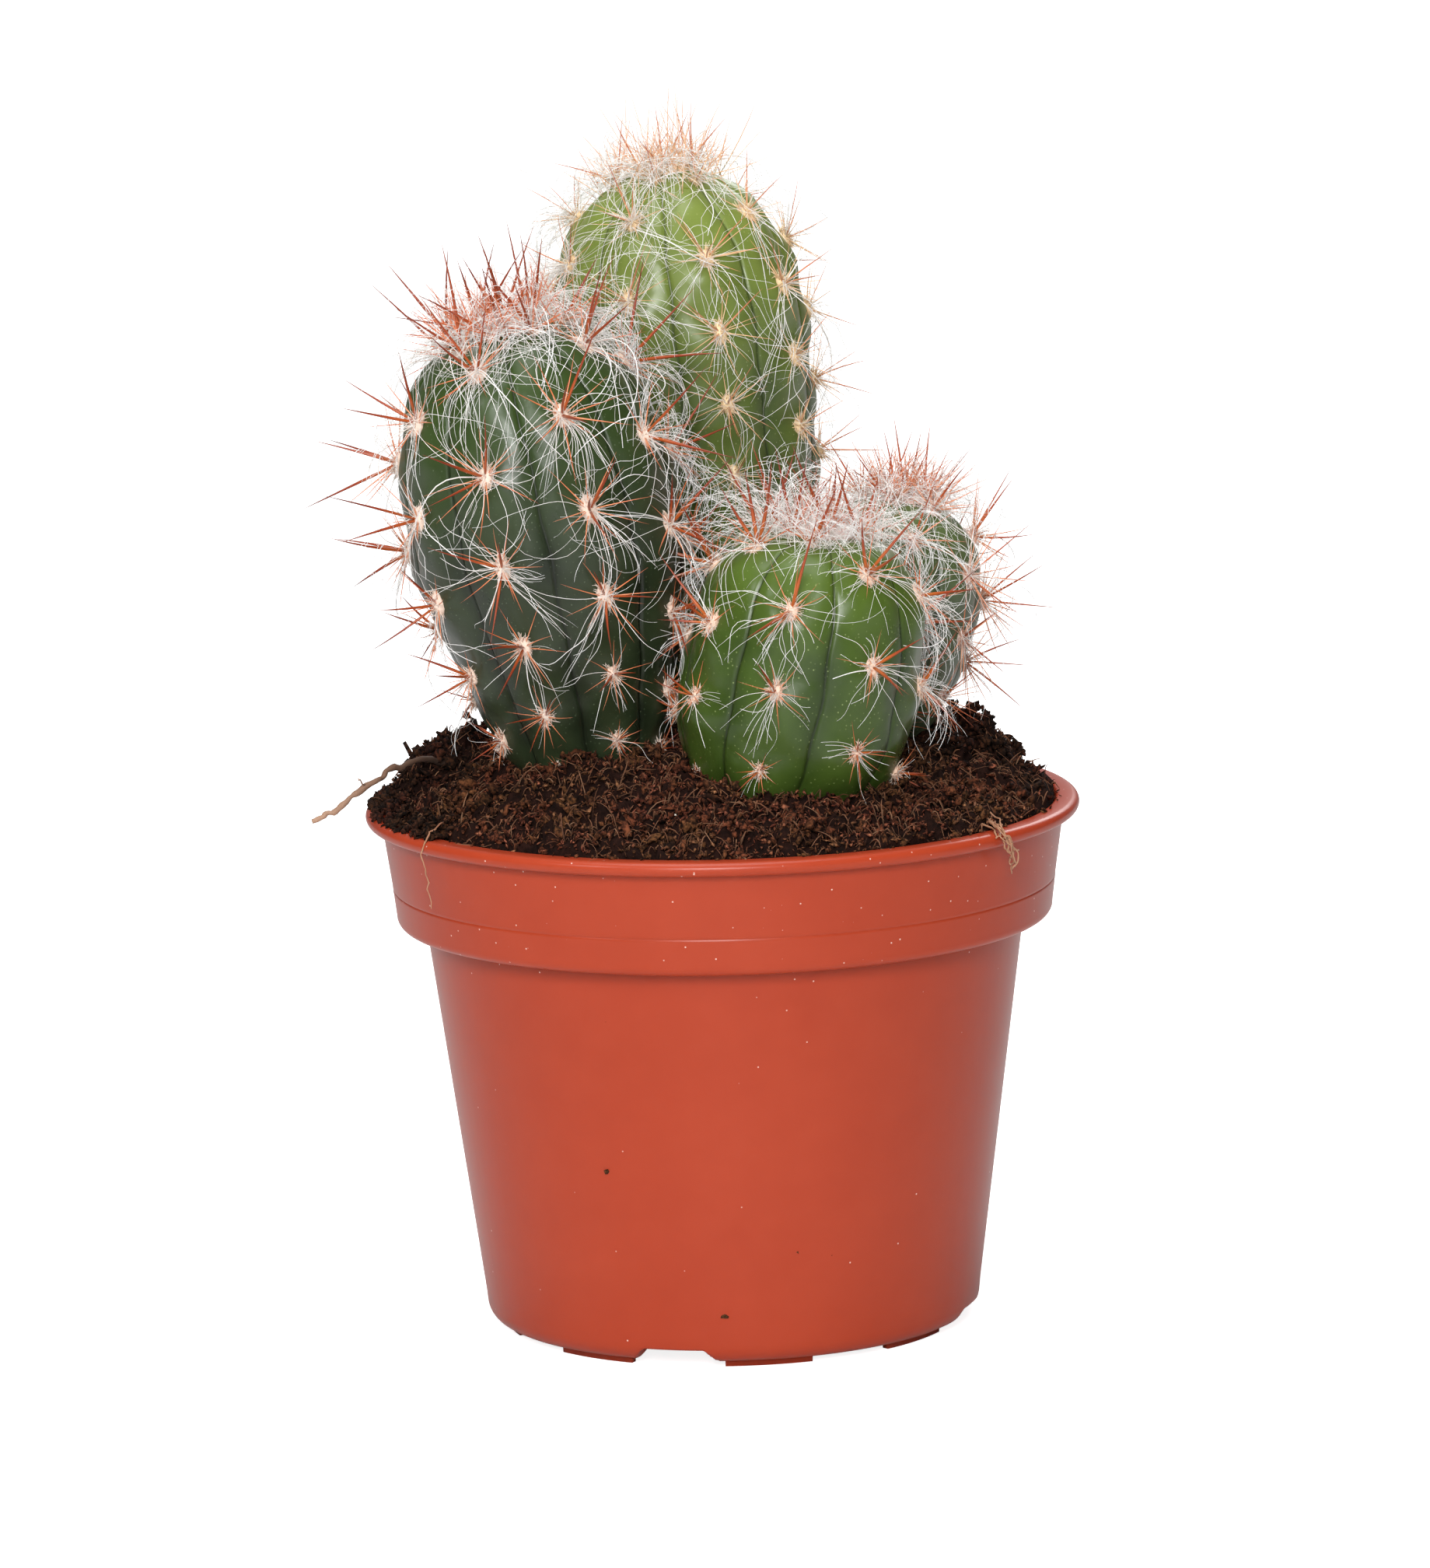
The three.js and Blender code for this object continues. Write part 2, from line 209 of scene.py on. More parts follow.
def round_points(radius, height, turns):
    """Rings about the pot's axis: radius and height per ring, or per ring and turn, at each of the turns."""
    radius, height = np.broadcast_arrays(radius, height, subok=True)
    if radius.ndim == 1:
        radius, height = radius[:, None], height[:, None]
    radius, height, turns = np.broadcast_arrays(radius, height, turns)
    return np.stack([*plan(radius, turns), height], -1)


def profile_arc(centre, radius, start, end, steps):
    """Points of an arc in a profile, from one angle to another in degrees, 0 outwards and 90 up."""
    angle = np.radians(np.linspace(start, end, steps))
    return np.stack([centre[0] + radius * np.cos(angle), centre[1] + radius * np.sin(angle)], -1)


pot_high = np.array(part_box("pot")[1]) / MM
LIP_RADIUS = pot_high[0]
LIP_TOP = pot_high[2]
LIP_BEAD = 1.2
POT_WALL = 1.2
BAND_HIGH = LIP_RADIUS - 2.8
BAND_LOW = LIP_RADIUS - 4.8
BAND_BOTTOM = LIP_TOP - 19.7
MOULD_LINE = BAND_BOTTOM + 6.3
WALL_HIGH = LIP_RADIUS - 9.75
WALL_LOW = LIP_RADIUS - 18.3
FOOT_INNER = 37.0
PLATE_UNDER = 3.4
RING_HEIGHT = 1.0
POT_SIDES = 288
NOTCH_STEPS = 25
DRAIN_REACH = 29
DRAIN_RADIUS = 3.2
DRAIN_SIDES = 24
DRAIN_TURNS = np.radians(-14.5 + 90 * np.arange(4))
DRAIN_HALF_LOW, DRAIN_HALF_HIGH = 7.85, 4.9
PAD_TURNS = (DRAIN_TURNS[:, None] + np.radians([23, 67])).ravel()
PAD_HALF_TURN = np.radians(11)
PAD_HALF_WIDTH = 0.64

foot_outer = WALL_LOW - 3.2
pot_profile = np.concatenate(
    [
        # Outside: the plate's underside, the foot ring, the wall and the step under the band.
        [[6, PLATE_UNDER], [20, PLATE_UNDER], [34, PLATE_UNDER], [FOOT_INNER - 0.3, PLATE_UNDER]],
        [[FOOT_INNER, RING_HEIGHT + 0.15], [FOOT_INNER + 0.1, RING_HEIGHT]],
        [[FOOT_INNER + 0.12, RING_HEIGHT], [foot_outer - 0.12, RING_HEIGHT], [foot_outer - 0.1, RING_HEIGHT]],
        profile_arc((foot_outer, RING_HEIGHT + 3.2), 3.2, -90, -8, 9),
        np.linspace([WALL_LOW + 0.2, 6.0], [WALL_HIGH - 0.04, BAND_BOTTOM - 1.1], 22),
        [[WALL_HIGH - 0.02, BAND_BOTTOM - 0.7]],
        profile_arc((WALL_HIGH + 0.5, BAND_BOTTOM - 0.5), 0.5, 180, 90, 4),
        profile_arc((BAND_LOW - 1.5, BAND_BOTTOM + 1.5), 1.5, -90, 0, 8),
        # The band with its mould line, and the lip's bead.
        [[BAND_LOW + 0.03, BAND_BOTTOM + 1.9], [BAND_LOW + 0.52, MOULD_LINE - 0.5]],
        [[BAND_LOW + 0.56, MOULD_LINE - 0.1], [BAND_LOW + 0.49, MOULD_LINE - 0.03]],
        [[BAND_LOW + 0.49, MOULD_LINE + 0.03], [BAND_LOW + 0.57, MOULD_LINE + 0.1]],
        [[BAND_LOW + 0.61, MOULD_LINE + 0.5], [BAND_HIGH - 0.2, LIP_TOP - 4.6]],
        [[BAND_HIGH - 0.05, LIP_TOP - 3.1], [BAND_HIGH, LIP_TOP - 2.8]],
        profile_arc((BAND_HIGH + 0.4, LIP_TOP - 2.8), 0.4, 180, 90, 4),
        profile_arc((LIP_RADIUS - LIP_BEAD, LIP_TOP - LIP_BEAD), LIP_BEAD, -90, 90, 13),
        # Inside: down the band and the wall to the top of the plate.
        profile_arc((BAND_HIGH - POT_WALL + 0.6, LIP_TOP - 0.6), 0.6, 90, 180, 5),
        [[BAND_LOW - POT_WALL, BAND_BOTTOM + 2.0], [BAND_LOW - 2.0, BAND_BOTTOM + POT_WALL]],
        [[WALL_HIGH - POT_WALL + 0.4, BAND_BOTTOM + POT_WALL], [WALL_HIGH - POT_WALL, BAND_BOTTOM + 0.6]],
        [[WALL_LOW - POT_WALL, PLATE_UNDER + POT_WALL + 0.9], [WALL_LOW - 2.1, PLATE_UNDER + POT_WALL]],
        [[24, PLATE_UNDER + POT_WALL], [6, PLATE_UNDER + POT_WALL]],
    ]
)


def turned_gap(turns, centres):
    """For each turn, the smallest angle to any of the centres."""
    gap = (turns[:, None] - centres + np.pi) % (2 * np.pi) - np.pi
    return np.abs(gap).min(axis=1)


notch_edges = DRAIN_TURNS[:, None] + np.linspace(-DRAIN_HALF_LOW, DRAIN_HALF_LOW, NOTCH_STEPS) / foot_outer
pad_edges = PAD_TURNS[:, None] + PAD_HALF_TURN * np.array([-1.004, -0.996, 0.996, 1.004])
step_edges = np.concatenate([notch_edges.ravel(), pad_edges.ravel()]) % (2 * np.pi)
pot_turns = np.unique(np.concatenate([full_turn(POT_SIDES), step_edges]))
from_notch = turned_gap(pot_turns, DRAIN_TURNS) * foot_outer
slope = (from_notch - DRAIN_HALF_HIGH) / (DRAIN_HALF_LOW - DRAIN_HALF_HIGH)
notch_top = PLATE_UNDER * np.clip(1 - slope, 0, 1)
on_pad = turned_gap(pot_turns, PAD_TURNS) < PAD_HALF_TURN
pot_height = np.repeat(pot_profile[:, 1:], len(pot_turns), axis=1)
from_ring_middle = np.abs(pot_profile[:, 0] - (FOOT_INNER + foot_outer) / 2)
pad_rows = (pot_profile[:, 1] <= RING_HEIGHT) & (from_ring_middle < PAD_HALF_WIDTH)
pot_height[np.ix_(pad_rows, on_pad)] = 0
low_rows = (pot_profile[:, 0] > FOOT_INNER - 0.5) & (pot_profile[:, 1] < PLATE_UNDER)
pot_height[low_rows] = np.maximum(pot_height[low_rows], notch_top)
pot_rings = round_points(pot_profile[:, :1], pot_height, pot_turns)
plate_ends = [[0, 0, PLATE_UNDER]], [[0, 0, PLATE_UNDER + POT_WALL]]
pot_points = np.concatenate([plate_ends[0], pot_rings.reshape(-1, 3), plate_ends[1]])
pot = new_mesh_object("nursery_pot", pot_points, ringed_faces(len(pot_profile), len(pot_turns)))


def cut_round_holes(piece, centres, radius, bottom, top):
    """Cuts upright round holes with a Boolean modifier, whose result becomes the piece's mesh."""
    drills = []
    for x, y in centres:
        ring = np.stack(plan(radius, full_turn(DRAIN_SIDES)), -1) + [x, y]
        ends = [np.c_[ring, np.full(DRAIN_SIDES, level)] for level in (bottom, top)]
        rims = np.concatenate([[[x, y, bottom]], *ends, [[x, y, top]]])
        drill = new_mesh_object("drill", rims, ringed_faces(2, DRAIN_SIDES), smooth=False)
        drills.append(drill)
        cut = piece.modifiers.new("drain_hole", "BOOLEAN")
        cut.object = drill
        cut.solver = "EXACT"
    cut_mesh = bpy.data.meshes.new_from_object(piece.evaluated_get(bpy.context.evaluated_depsgraph_get()))
    piece.modifiers.clear()
    piece.data = cut_mesh
    for drill in drills:
        bpy.data.objects.remove(drill)


drain_centres = np.stack(plan(DRAIN_REACH, DRAIN_TURNS), -1)
cut_round_holes(pot, drain_centres, DRAIN_RADIUS, PLATE_UNDER - 1, PLATE_UNDER + POT_WALL + 1)


def new_group(name, inputs, outputs):
    """An empty shader node group with its named sockets, and its input and output nodes."""
    group = bpy.data.node_groups.new(name, "ShaderNodeTree")
    for direction, sockets in (("INPUT", inputs), ("OUTPUT", outputs)):
        for socket, kind in sockets.items():
            group.interface.new_socket(socket, in_out=direction, socket_type=f"NodeSocket{kind}")
    return group, group.nodes.new("NodeGroupInput").outputs, group.nodes.new("NodeGroupOutput").inputs


def add_mix(tree, share, first, second, **settings):
    """Two colours, each a socket or a value, mixed by a share."""
    colours = {0: share, 6: first, 7: second}
    return add_node(tree, "ShaderNodeMix", colours, data_type="RGBA", **settings).outputs[2]


def mottle_group():
    """Two colours mixed by broad patches with finer grain in them, and that grain as a height."""
    group, given, out = new_group(
        "mottle",
        {"Dark": "Color", "Light": "Color", "Patches": "Float", "Grain": "Float", "Contrast": "Float"},
        {"Colour": "Color", "Height": "Float"},
    )
    place = add_node(group, "ShaderNodeTexCoord").outputs["Object"]
    noise = {"Vector": place, "Detail": 5.0, "Roughness": 0.6}
    broad = add_node(group, "ShaderNodeTexNoise", {**noise, "Scale": given["Patches"]}).outputs["Fac"]
    fine = add_node(group, "ShaderNodeTexNoise", {**noise, "Scale": given["Grain"]}).outputs["Fac"]
    both = add_node(group, "ShaderNodeMix", {"Factor": 0.4, "A": broad, "B": fine}).outputs[0]
    spread = add_math(group, "MULTIPLY", add_math(group, "SUBTRACT", both, 0.5), given["Contrast"])
    share = add_math(group, "ADD", spread, 0.5, use_clamp=True)
    group.links.new(add_mix(group, share, given["Dark"], given["Light"]), out["Colour"])
    group.links.new(fine, out["Height"])
    return group


mottle = mottle_group()


def mottled(tree, dark, light, patches, grain, contrast):
    """The mottle group in a material, with this surface's two colours and sizes per metre."""
    colours = {"Dark": paint(dark), "Light": paint(light)}
    pattern = {"Patches": patches, "Grain": grain, "Contrast": contrast}
    return add_node(tree, "ShaderNodeGroup", {**colours, **pattern}, node_tree=mottle).outputs


def add_bump(tree, shader, height, strength, distance):
    """Feeds a height into the shader's normal."""
    relief = {"Height": height, "Strength": strength, "Distance": distance * MM}
    tree.links.new(add_node(tree, "ShaderNodeBump", relief).outputs["Normal"], shader.inputs["Normal"])


def add_noise(tree, place, scale, detail):
    """Noise at a place, of a scale per metre."""
    noise = {"Vector": place, "Scale": scale, "Detail": detail}
    return add_node(tree, "ShaderNodeTexNoise", noise).outputs["Fac"]


def pot_finish():
    """Semi-gloss red plastic with pale dust specks, most of them on the band, and faint dull smears."""
    material, tree, shader = new_material("pot_plastic", IOR=1.49, Specular_IOR_Level=0.27)
    body = mottled(tree, "#a2371d", "#b24429", 22, 140, 1.3)
    place = add_node(tree, "ShaderNodeTexCoord").outputs["Object"]
    specks = add_node(tree, "ShaderNodeTexVoronoi", {"Vector": place, "Scale": 620.0}).outputs
    near = add_range(tree, specks["Distance"], 0.04, 0.11, 1.0, 0.0)
    rare = add_node(tree, "ShaderNodeSeparateColor", {"Color": specks["Color"]}).outputs[0]
    height = add_node(tree, "ShaderNodeSeparateXYZ", {"Vector": place}).outputs["Z"]
    fewest = add_range(tree, height, 0.06, 0.073, 0.95, 0.6)
    dust = add_math(tree, "MULTIPLY", near, add_math(tree, "GREATER_THAN", rare, fewest))
    dusted = add_mix(tree, dust, body["Colour"], paint("#f0d2c6"))
    tree.links.new(dusted, shader.inputs["Base Color"])
    gloss = add_range(tree, add_noise(tree, place, 35.0, 4.0), 0.0, 1.0, 0.27, 0.34)
    tree.links.new(gloss, shader.inputs["Roughness"])
    add_bump(tree, shader, body["Height"], 0.25, 0.02)
    return material


pot.data.materials.append(pot_finish())
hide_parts("pot")
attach(pot, "root")

# ------------------------------------------------------------------ peat
# Dark fibrous peat fills the pot and is heaped above the lip, with a coarse lump at the back left and another
# at the back right. It was pressed in by hand, so its top is all crumbs, fibres and a few white grains.
def value_noise(points, size, seed):
    """Smooth noise from 0 to 1: a scrambled value at every corner of a lattice with cells of the given size,
    blended between the eight corners round each point."""
    cell = points / size
    base = np.floor(cell).astype(np.int64)
    part = cell - base
    part = part * part * (3 - 2 * part)
    total = 0.0
    for corner in np.ndindex(2, 2, 2):
        at = base + corner
        mixed = at[..., 0] * 73856093 ^ at[..., 1] * 19349663 ^ at[..., 2] * 83492791 ^ seed * 2654435761
        mixed = (mixed & 0xFFFFFFFF) * 1274126177 & 0xFFFFFFFF
        mixed = (mixed ^ mixed >> 15) * 1597334677 & 0xFFFFFFFF
        share = np.where(corner, part, 1 - part).prod(axis=-1)
        total = total + share * (mixed >> 16 & 0xFFFF) / 65535
    return total


MOUND_EDGE = 88
MOUND_RISE = 11.5
MOUND_REACH = 56
MOUND_POWER = 2.3
HEAP_MIDDLE = (-23, -27)
HEAP_RADIUS = 13
HEAP_RISE = 2.3
PEAT_LUMPS = [
    np.array(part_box("peat_lump_left")) / MM - [0, 0, 1.8],
    np.array(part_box("peat_lump_right")) / MM - [1.2, 0, 2.4],
]


def peat_height(x, y):
    """Height of the peat at a place: a dome that falls away towards the lip, or the upper half of a lump
    where one stands higher, plus a soft heap against the left stem."""
    height = MOUND_EDGE + MOUND_RISE * (1 - (np.hypot(x, y) / MOUND_REACH) ** MOUND_POWER)
    for low, high in PEAT_LUMPS:
        middle, half = (low + high) / 2, (high - low) / 2
        inside = 1 - ((x - middle[0]) / half[0]) ** 2 - ((y - middle[1]) / half[1]) ** 2
        height = np.where(inside > 0, np.maximum(height, middle[2] + half[2] * abs(inside) ** 0.85), height)
    from_heap = ((x - HEAP_MIDDLE[0]) / HEAP_RADIUS) ** 2 + ((y - HEAP_MIDDLE[1]) / HEAP_RADIUS) ** 2
    return height + HEAP_RISE * np.exp(-from_heap)


PEAT_EDGE = 55.7
PEAT_RINGS = 150
PEAT_SIDES = 560
peat_turns = full_turn(PEAT_SIDES)
top_reach = np.linspace(PEAT_EDGE, 0.6, PEAT_RINGS)[:, None]
peat_top = round_points(top_reach[:, 0], 0 * top_reach[:, 0], peat_turns)
peat_top[..., 2] = peat_height(peat_top[..., 0], peat_top[..., 1])
peat_spots = peat_top * [1, 1, 0.5]
coarse = value_noise(peat_spots, 6.5, 1) - 0.5
humps = 1 - abs(2 * value_noise(peat_spots, 2.9, 2) - 1)
grit = value_noise(peat_spots, 1.25, 3) - 0.5
fine_grit = value_noise(peat_spots, 0.62, 4) - 0.5
inside_edge = np.clip((PEAT_EDGE - top_reach) / 3, 0, 1)
peat_top[..., 2] += 2.4 * coarse * inside_edge + 2.8 * (humps - 0.5) + 2.2 * grit + 1.1 * fine_grit
for axis, seed in ((0, 5), (1, 6)):
    peat_top[..., axis] += 1.9 * (value_noise(peat_spots, 1.9, seed) - 0.5) * inside_edge
PLUG_BOTTOM = 5.2
plug_profile = [[12, PLUG_BOTTOM], [39.4, PLUG_BOTTOM], [40.4, 6.5], [48.8, 70.4], [53.6, 70.8], [55.4, 84.5]]
peat_plug = round_points(*np.transpose(plug_profile), peat_turns)
peat_ends = [[0, 0, PLUG_BOTTOM]], [[0, 0, MOUND_EDGE + MOUND_RISE]]
peat_points = np.concatenate([peat_ends[0], peat_plug.reshape(-1, 3), peat_top.reshape(-1, 3), peat_ends[1]])
peat_bed = new_mesh_object("peat_bed", peat_points, ringed_faces(len(plug_profile) + PEAT_RINGS, PEAT_SIDES))


def peat_finish():
    """Matte brown-black peat with browner bits in it."""
    material, tree, shader = new_material("peat_mix", Roughness=0.9, Specular_IOR_Level=0.1)
    bits = mottled(tree, "#070302", "#2a1610", 420, 1500, 2.8)
    tree.links.new(bits["Colour"], shader.inputs["Base Color"])
    add_bump(tree, shader, bits["Height"], 0.8, 0.35)
    return material


peat_bed.data.materials.append(peat_finish())
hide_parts("soil", "peat_lump_left", "peat_lump_right")
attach(peat_bed, "root")


# Crumbs, clods, fibres and flakes of peat lie loose on the bed, a few crumbs on the lip and the pot's wall,
# and white grains among them. The peat is darker in a patch at the right, as painted shade, and in one at the
# left.
def join_shapes(shapes):
    """One shape out of several. A shape is its points, its face arrays, and the map coordinates of each face
    array's corners: across is a tint of its own, and up is the place along or across the shape."""
    points, faces, maps = [], [], []
    shift = 0
    for shape_points, shape_faces, shape_maps in shapes:
        points.append(shape_points)
        faces += [part + shift for part in shape_faces]
        maps += shape_maps
        shift += len(shape_points)
    return np.concatenate(points), faces, maps


def new_mapped_object(name, shape, material):
    """A smooth mesh object made from a shape, with its map coordinates and one material."""
    points, faces, maps = shape
    made = new_mesh_object(name, points, faces)
    layer = made.data.uv_layers.new(name="OFBake")
    corners = np.concatenate([part.reshape(-1, 2) for part in maps])
    layer.data.foreach_set("uv", corners.astype(np.float32).ravel())
    made.data.materials.append(material)
    return made


TINT_WIDTH = 0.02


def draw_tints(rng, count):
    """A tint for each crumb or strand: where it starts across the map."""
    return rng.uniform(0.01, 0.97, count)


def scattered_balls(points, rings, sides, across, rise, tints):
    """One shape of many ringed balls. The points are given ball by ball, and all the balls have the same
    faces and the same places on the map, but for their tints."""
    single = ringed_faces(rings, sides)
    shift = (np.arange(len(points)) * points.shape[1])[:, None, None]
    faces = [(part[None] + shift).reshape(-1, part.shape[1]) for part in single]
    maps = []
    for part in single:
        corners = np.stack([across[part], rise[part]], -1)[None] + tints[:, None, None, None] * [1, 0]
        maps.append(corners.reshape(-1, part.shape[1], 2))
    return points.reshape(-1, 3), faces, maps


def crumb_shapes(centres, sizes, seed, rings=2, sides=5):
    """Small lumps: each is a ball of rings between two ends, stretched to its three sizes, dented at random
    at every point, and turned at random."""
    rng = np.random.default_rng(seed)
    count = len(centres)
    ring = np.concatenate([[0], np.repeat(np.arange(1, rings + 1), sides), [rings + 1]])
    polar = np.pi * ring / (rings + 1)
    turn = 2 * np.pi * np.concatenate([[0], np.tile(np.arange(sides), rings), [0]]) / sides
    ball = np.stack([*plan(np.sin(polar), turn), -np.cos(polar)], -1)
    dents = rng.uniform(0.5, 1.4, (count, len(ball), 1))
    spin = np.linalg.qr(rng.normal(size=(count, 3, 3)))[0]
    spin *= np.sign(np.linalg.det(spin))[:, None, None]
    points = np.einsum("nij,nkj->nki", spin, ball * dents * sizes[:, None, :]) + centres[:, None, :]
    rise = (1 - np.cos(polar)) / 2
    across = np.sin(polar) * np.sin(turn) * TINT_WIDTH / 2
    return scattered_balls(points, rings, sides, across, rise, draw_tints(rng, count))


def on_peat(x, y):
    """Height of the finished bed at a place: that of the nearest point of its top."""
    ring = (PEAT_EDGE - np.hypot(x, y)) / (PEAT_EDGE - top_reach[-1, 0]) * (PEAT_RINGS - 1)
    ring = np.clip(np.round(ring), 0, PEAT_RINGS - 1).astype(int)
    side = np.round(np.arctan2(x, -y) / (2 * np.pi) * PEAT_SIDES).astype(int) % PEAT_SIDES
    return peat_top[ring, side, 2]


# Loose crumbs lie over the bed and the inner side of the lip, and some on each of the two lumps. Near the
# lip they are smaller, and from LEVEL_FROM outwards none lies deeper than another.
CRUMBS = 7000
CRUMBS_PER_LUMP = 450
CRUMB_EDGE = 57.2
SMALL_FROM = 55
LEVEL_FROM = 55.2
peat_rng = np.random.default_rng(11)


def spread_out(count, edge, least=0.0):
    """x and y of places spread evenly over a disc: their reach is its edge times the root of a share."""
    reach = edge * np.sqrt(peat_rng.uniform(least, 1, count))
    return plan(reach, peat_rng.uniform(0, 2 * np.pi, count))


crumb_x, crumb_y = spread_out(CRUMBS, CRUMB_EDGE)
for order, (low, high) in enumerate(PEAT_LUMPS):
    on_lump = slice(order * CRUMBS_PER_LUMP, (order + 1) * CRUMBS_PER_LUMP)
    crumb_x[on_lump] = peat_rng.uniform(low[0], high[0], CRUMBS_PER_LUMP)
    crumb_y[on_lump] = peat_rng.uniform(low[1], high[1], CRUMBS_PER_LUMP)
crumb_reach = np.hypot(crumb_x, crumb_y)
crumb_lift = peat_rng.uniform(-0.2, 0.8, CRUMBS)
crumb_z = on_peat(crumb_x, crumb_y) + np.where(crumb_reach > LEVEL_FROM, 0.3, crumb_lift)
crumb_z = np.where(crumb_reach > MOUND_REACH, LIP_TOP + 0.2, crumb_z)
crumb_bulk = peat_rng.lognormal(-0.45, 0.45, (CRUMBS, 1))
crumb_size = crumb_bulk * peat_rng.uniform([0.7, 0.4, 0.15], [1.7, 0.9, 0.45], (CRUMBS, 3))
crumb_size = np.minimum(crumb_size, 2.2) * np.where(crumb_reach > SMALL_FROM, 0.5, 1)[:, None]
crumb_places = np.stack([crumb_x, crumb_y, crumb_z], -1)

# Middle and radius of each darker patch: the right one is painted shade, the left one is only darker peat.
DARK_PATCHES = ((46, 10, 23), (-50, 0, 13))


def in_dark_patch(x, y):
    """Whether a place lies in one of the two darker patches: within a circle whose radius varies with noise.
    """
    ragged = value_noise(np.stack([x, y, 0 * x], -1), 4.0, 9) * 0.6 + 0.7
    return np.any([np.hypot(x - a, y - b) < radius * ragged for a, b, radius in DARK_PATCHES], axis=0)


crumb_in_dark_patch = in_dark_patch(crumb_x, crumb_y)

# A clod is a heap of bits that stick together.
CLODS = 190
CLODS_PER_LUMP = 22
BITS = 13
CLOD_EDGE = 54
clod_reach = CLOD_EDGE * peat_rng.uniform(0.15, 1, CLODS) ** 0.5
clod_turn = peat_rng.uniform(0, 2 * np.pi, CLODS)
clod_middle = np.stack([*plan(clod_reach, clod_turn), 0 * clod_turn], -1)
for order, (low, high) in enumerate(PEAT_LUMPS):
    on_lump = slice(order * CLODS_PER_LUMP, (order + 1) * CLODS_PER_LUMP)
    clod_middle[on_lump] = peat_rng.uniform(low + 2, high - 2, (CLODS_PER_LUMP, 3))
clod_middle[:, 2] = on_peat(clod_middle[:, 0], clod_middle[:, 1]) + peat_rng.uniform(0.2, 1.2, CLODS)
clod_radius = peat_rng.uniform(0.8, 1.9, (CLODS, 1, 1))
bit_places = clod_middle[:, None] + clod_radius * peat_rng.normal(0, [0.75, 0.75, 0.5], (CLODS, BITS, 3))
bit_sizes = clod_radius * peat_rng.uniform([0.35, 0.25, 0.15], [0.8, 0.55, 0.4], (CLODS, BITS, 3))
bit_places, bit_sizes = bit_places.reshape(-1, 3), bit_sizes.reshape(-1, 3)
bit_in_dark_patch = in_dark_patch(bit_places[:, 0], bit_places[:, 1])
clods = crumb_shapes(bit_places[~bit_in_dark_patch], bit_sizes[~bit_in_dark_patch], 15)
dark_patch_clods = crumb_shapes(bit_places[bit_in_dark_patch], bit_sizes[bit_in_dark_patch], 15)

# Six crumbs on the wall, each with its turn in degrees, its height and its size.
WALL_CRUMBS = (
    (-26.4, 34, 0.8), (-2, 9.5, 1.0), (14, 20, 0.45), (22, 19, 0.35), (-24, 60, 0.25), (33, 41, 0.25)
)
wall_turn, wall_height, wall_size = np.transpose(WALL_CRUMBS)
wall_reach = WALL_LOW + (WALL_HIGH - WALL_LOW) * (wall_height - 6) / (BAND_BOTTOM - 6)
wall_centres = np.stack([*plan(wall_reach, np.radians(wall_turn)), wall_height], -1)
wall_crumbs = crumb_shapes(wall_centres, wall_size[:, None] * [0.8, 0.5, 0.9], 13)


def unit(vectors, least=0.0):
    """Vectors divided by their length, or by a little more where one may be nothing."""
    return vectors / (np.linalg.norm(vectors, axis=-1, keepdims=True) + least)


def tube_along(paths, radii, sides, tints):
    """Closed tubes along paths, as one shape. Each ring is a polygon about its path point, square to the
    path, and its first corner's direction is carried from ring to ring without twisting. The tint is the
    map's across, and the share of the path is its up."""
    count, steps, _ = paths.shape
    along = unit(np.gradient(paths, axis=1), 1e-9)
    first = np.cross(along[:, 0], np.where(abs(along[:, 0, 2:]) < 0.8, [0, 0, 1], [1, 0, 0]))
    firsts = []
    for step in range(steps):
        first = unit(first - along[:, step] * (first * along[:, step]).sum(-1, keepdims=True), 1e-9)
        firsts.append(first)
    firsts = np.stack(firsts, 1)[:, :, None]
    seconds = np.cross(along[:, :, None], firsts)
    angle = (2 * np.pi * np.arange(sides) / sides)[:, None]
    points = paths[:, :, None] + radii[..., None, None] * (np.cos(angle) * firsts + np.sin(angle) * seconds)
    ring = np.arange(count)[:, None, None] * steps * sides + np.arange(steps - 1)[:, None] * sides
    column = np.arange(sides)
    after = (column + 1) % sides
    quads = np.stack([ring + column, ring + after, ring + sides + after, ring + sides + column], -1)
    start = np.arange(count)[:, None] * steps * sides
    caps = np.concatenate([start + column[::-1], start + (steps - 1) * sides + column])
    shares = np.arange(steps) / (steps - 1)
    low, high = shares[:-1, None], shares[1:, None]
    left, right = column * TINT_WIDTH / sides, (column + 1) * TINT_WIDTH / sides
    ups = np.stack(np.broadcast_arrays(low, low, high, high), -1) + 0 * column[None, :, None]
    acrosses = np.stack([left, right, right, left], -1) + tints[:, None, None, None]
    quad_maps = np.stack(np.broadcast_arrays(acrosses, ups[None]), -1)
    cap_across = tints[:, None] + TINT_WIDTH * (0.5 + 0.5 * np.cos(angle[:, 0]))
    cap_ups = [level + 0.01 * np.sin(angle[:, 0]) + 0 * cap_across for level in (0.01, 0.99)]
    cap_maps = np.concatenate([np.stack([cap_across, cap_up], -1) for cap_up in cap_ups])
    return points.reshape(-1, 3), [quads.reshape(-1, 4), caps], [quad_maps.reshape(-1, 4, 2), cap_maps]


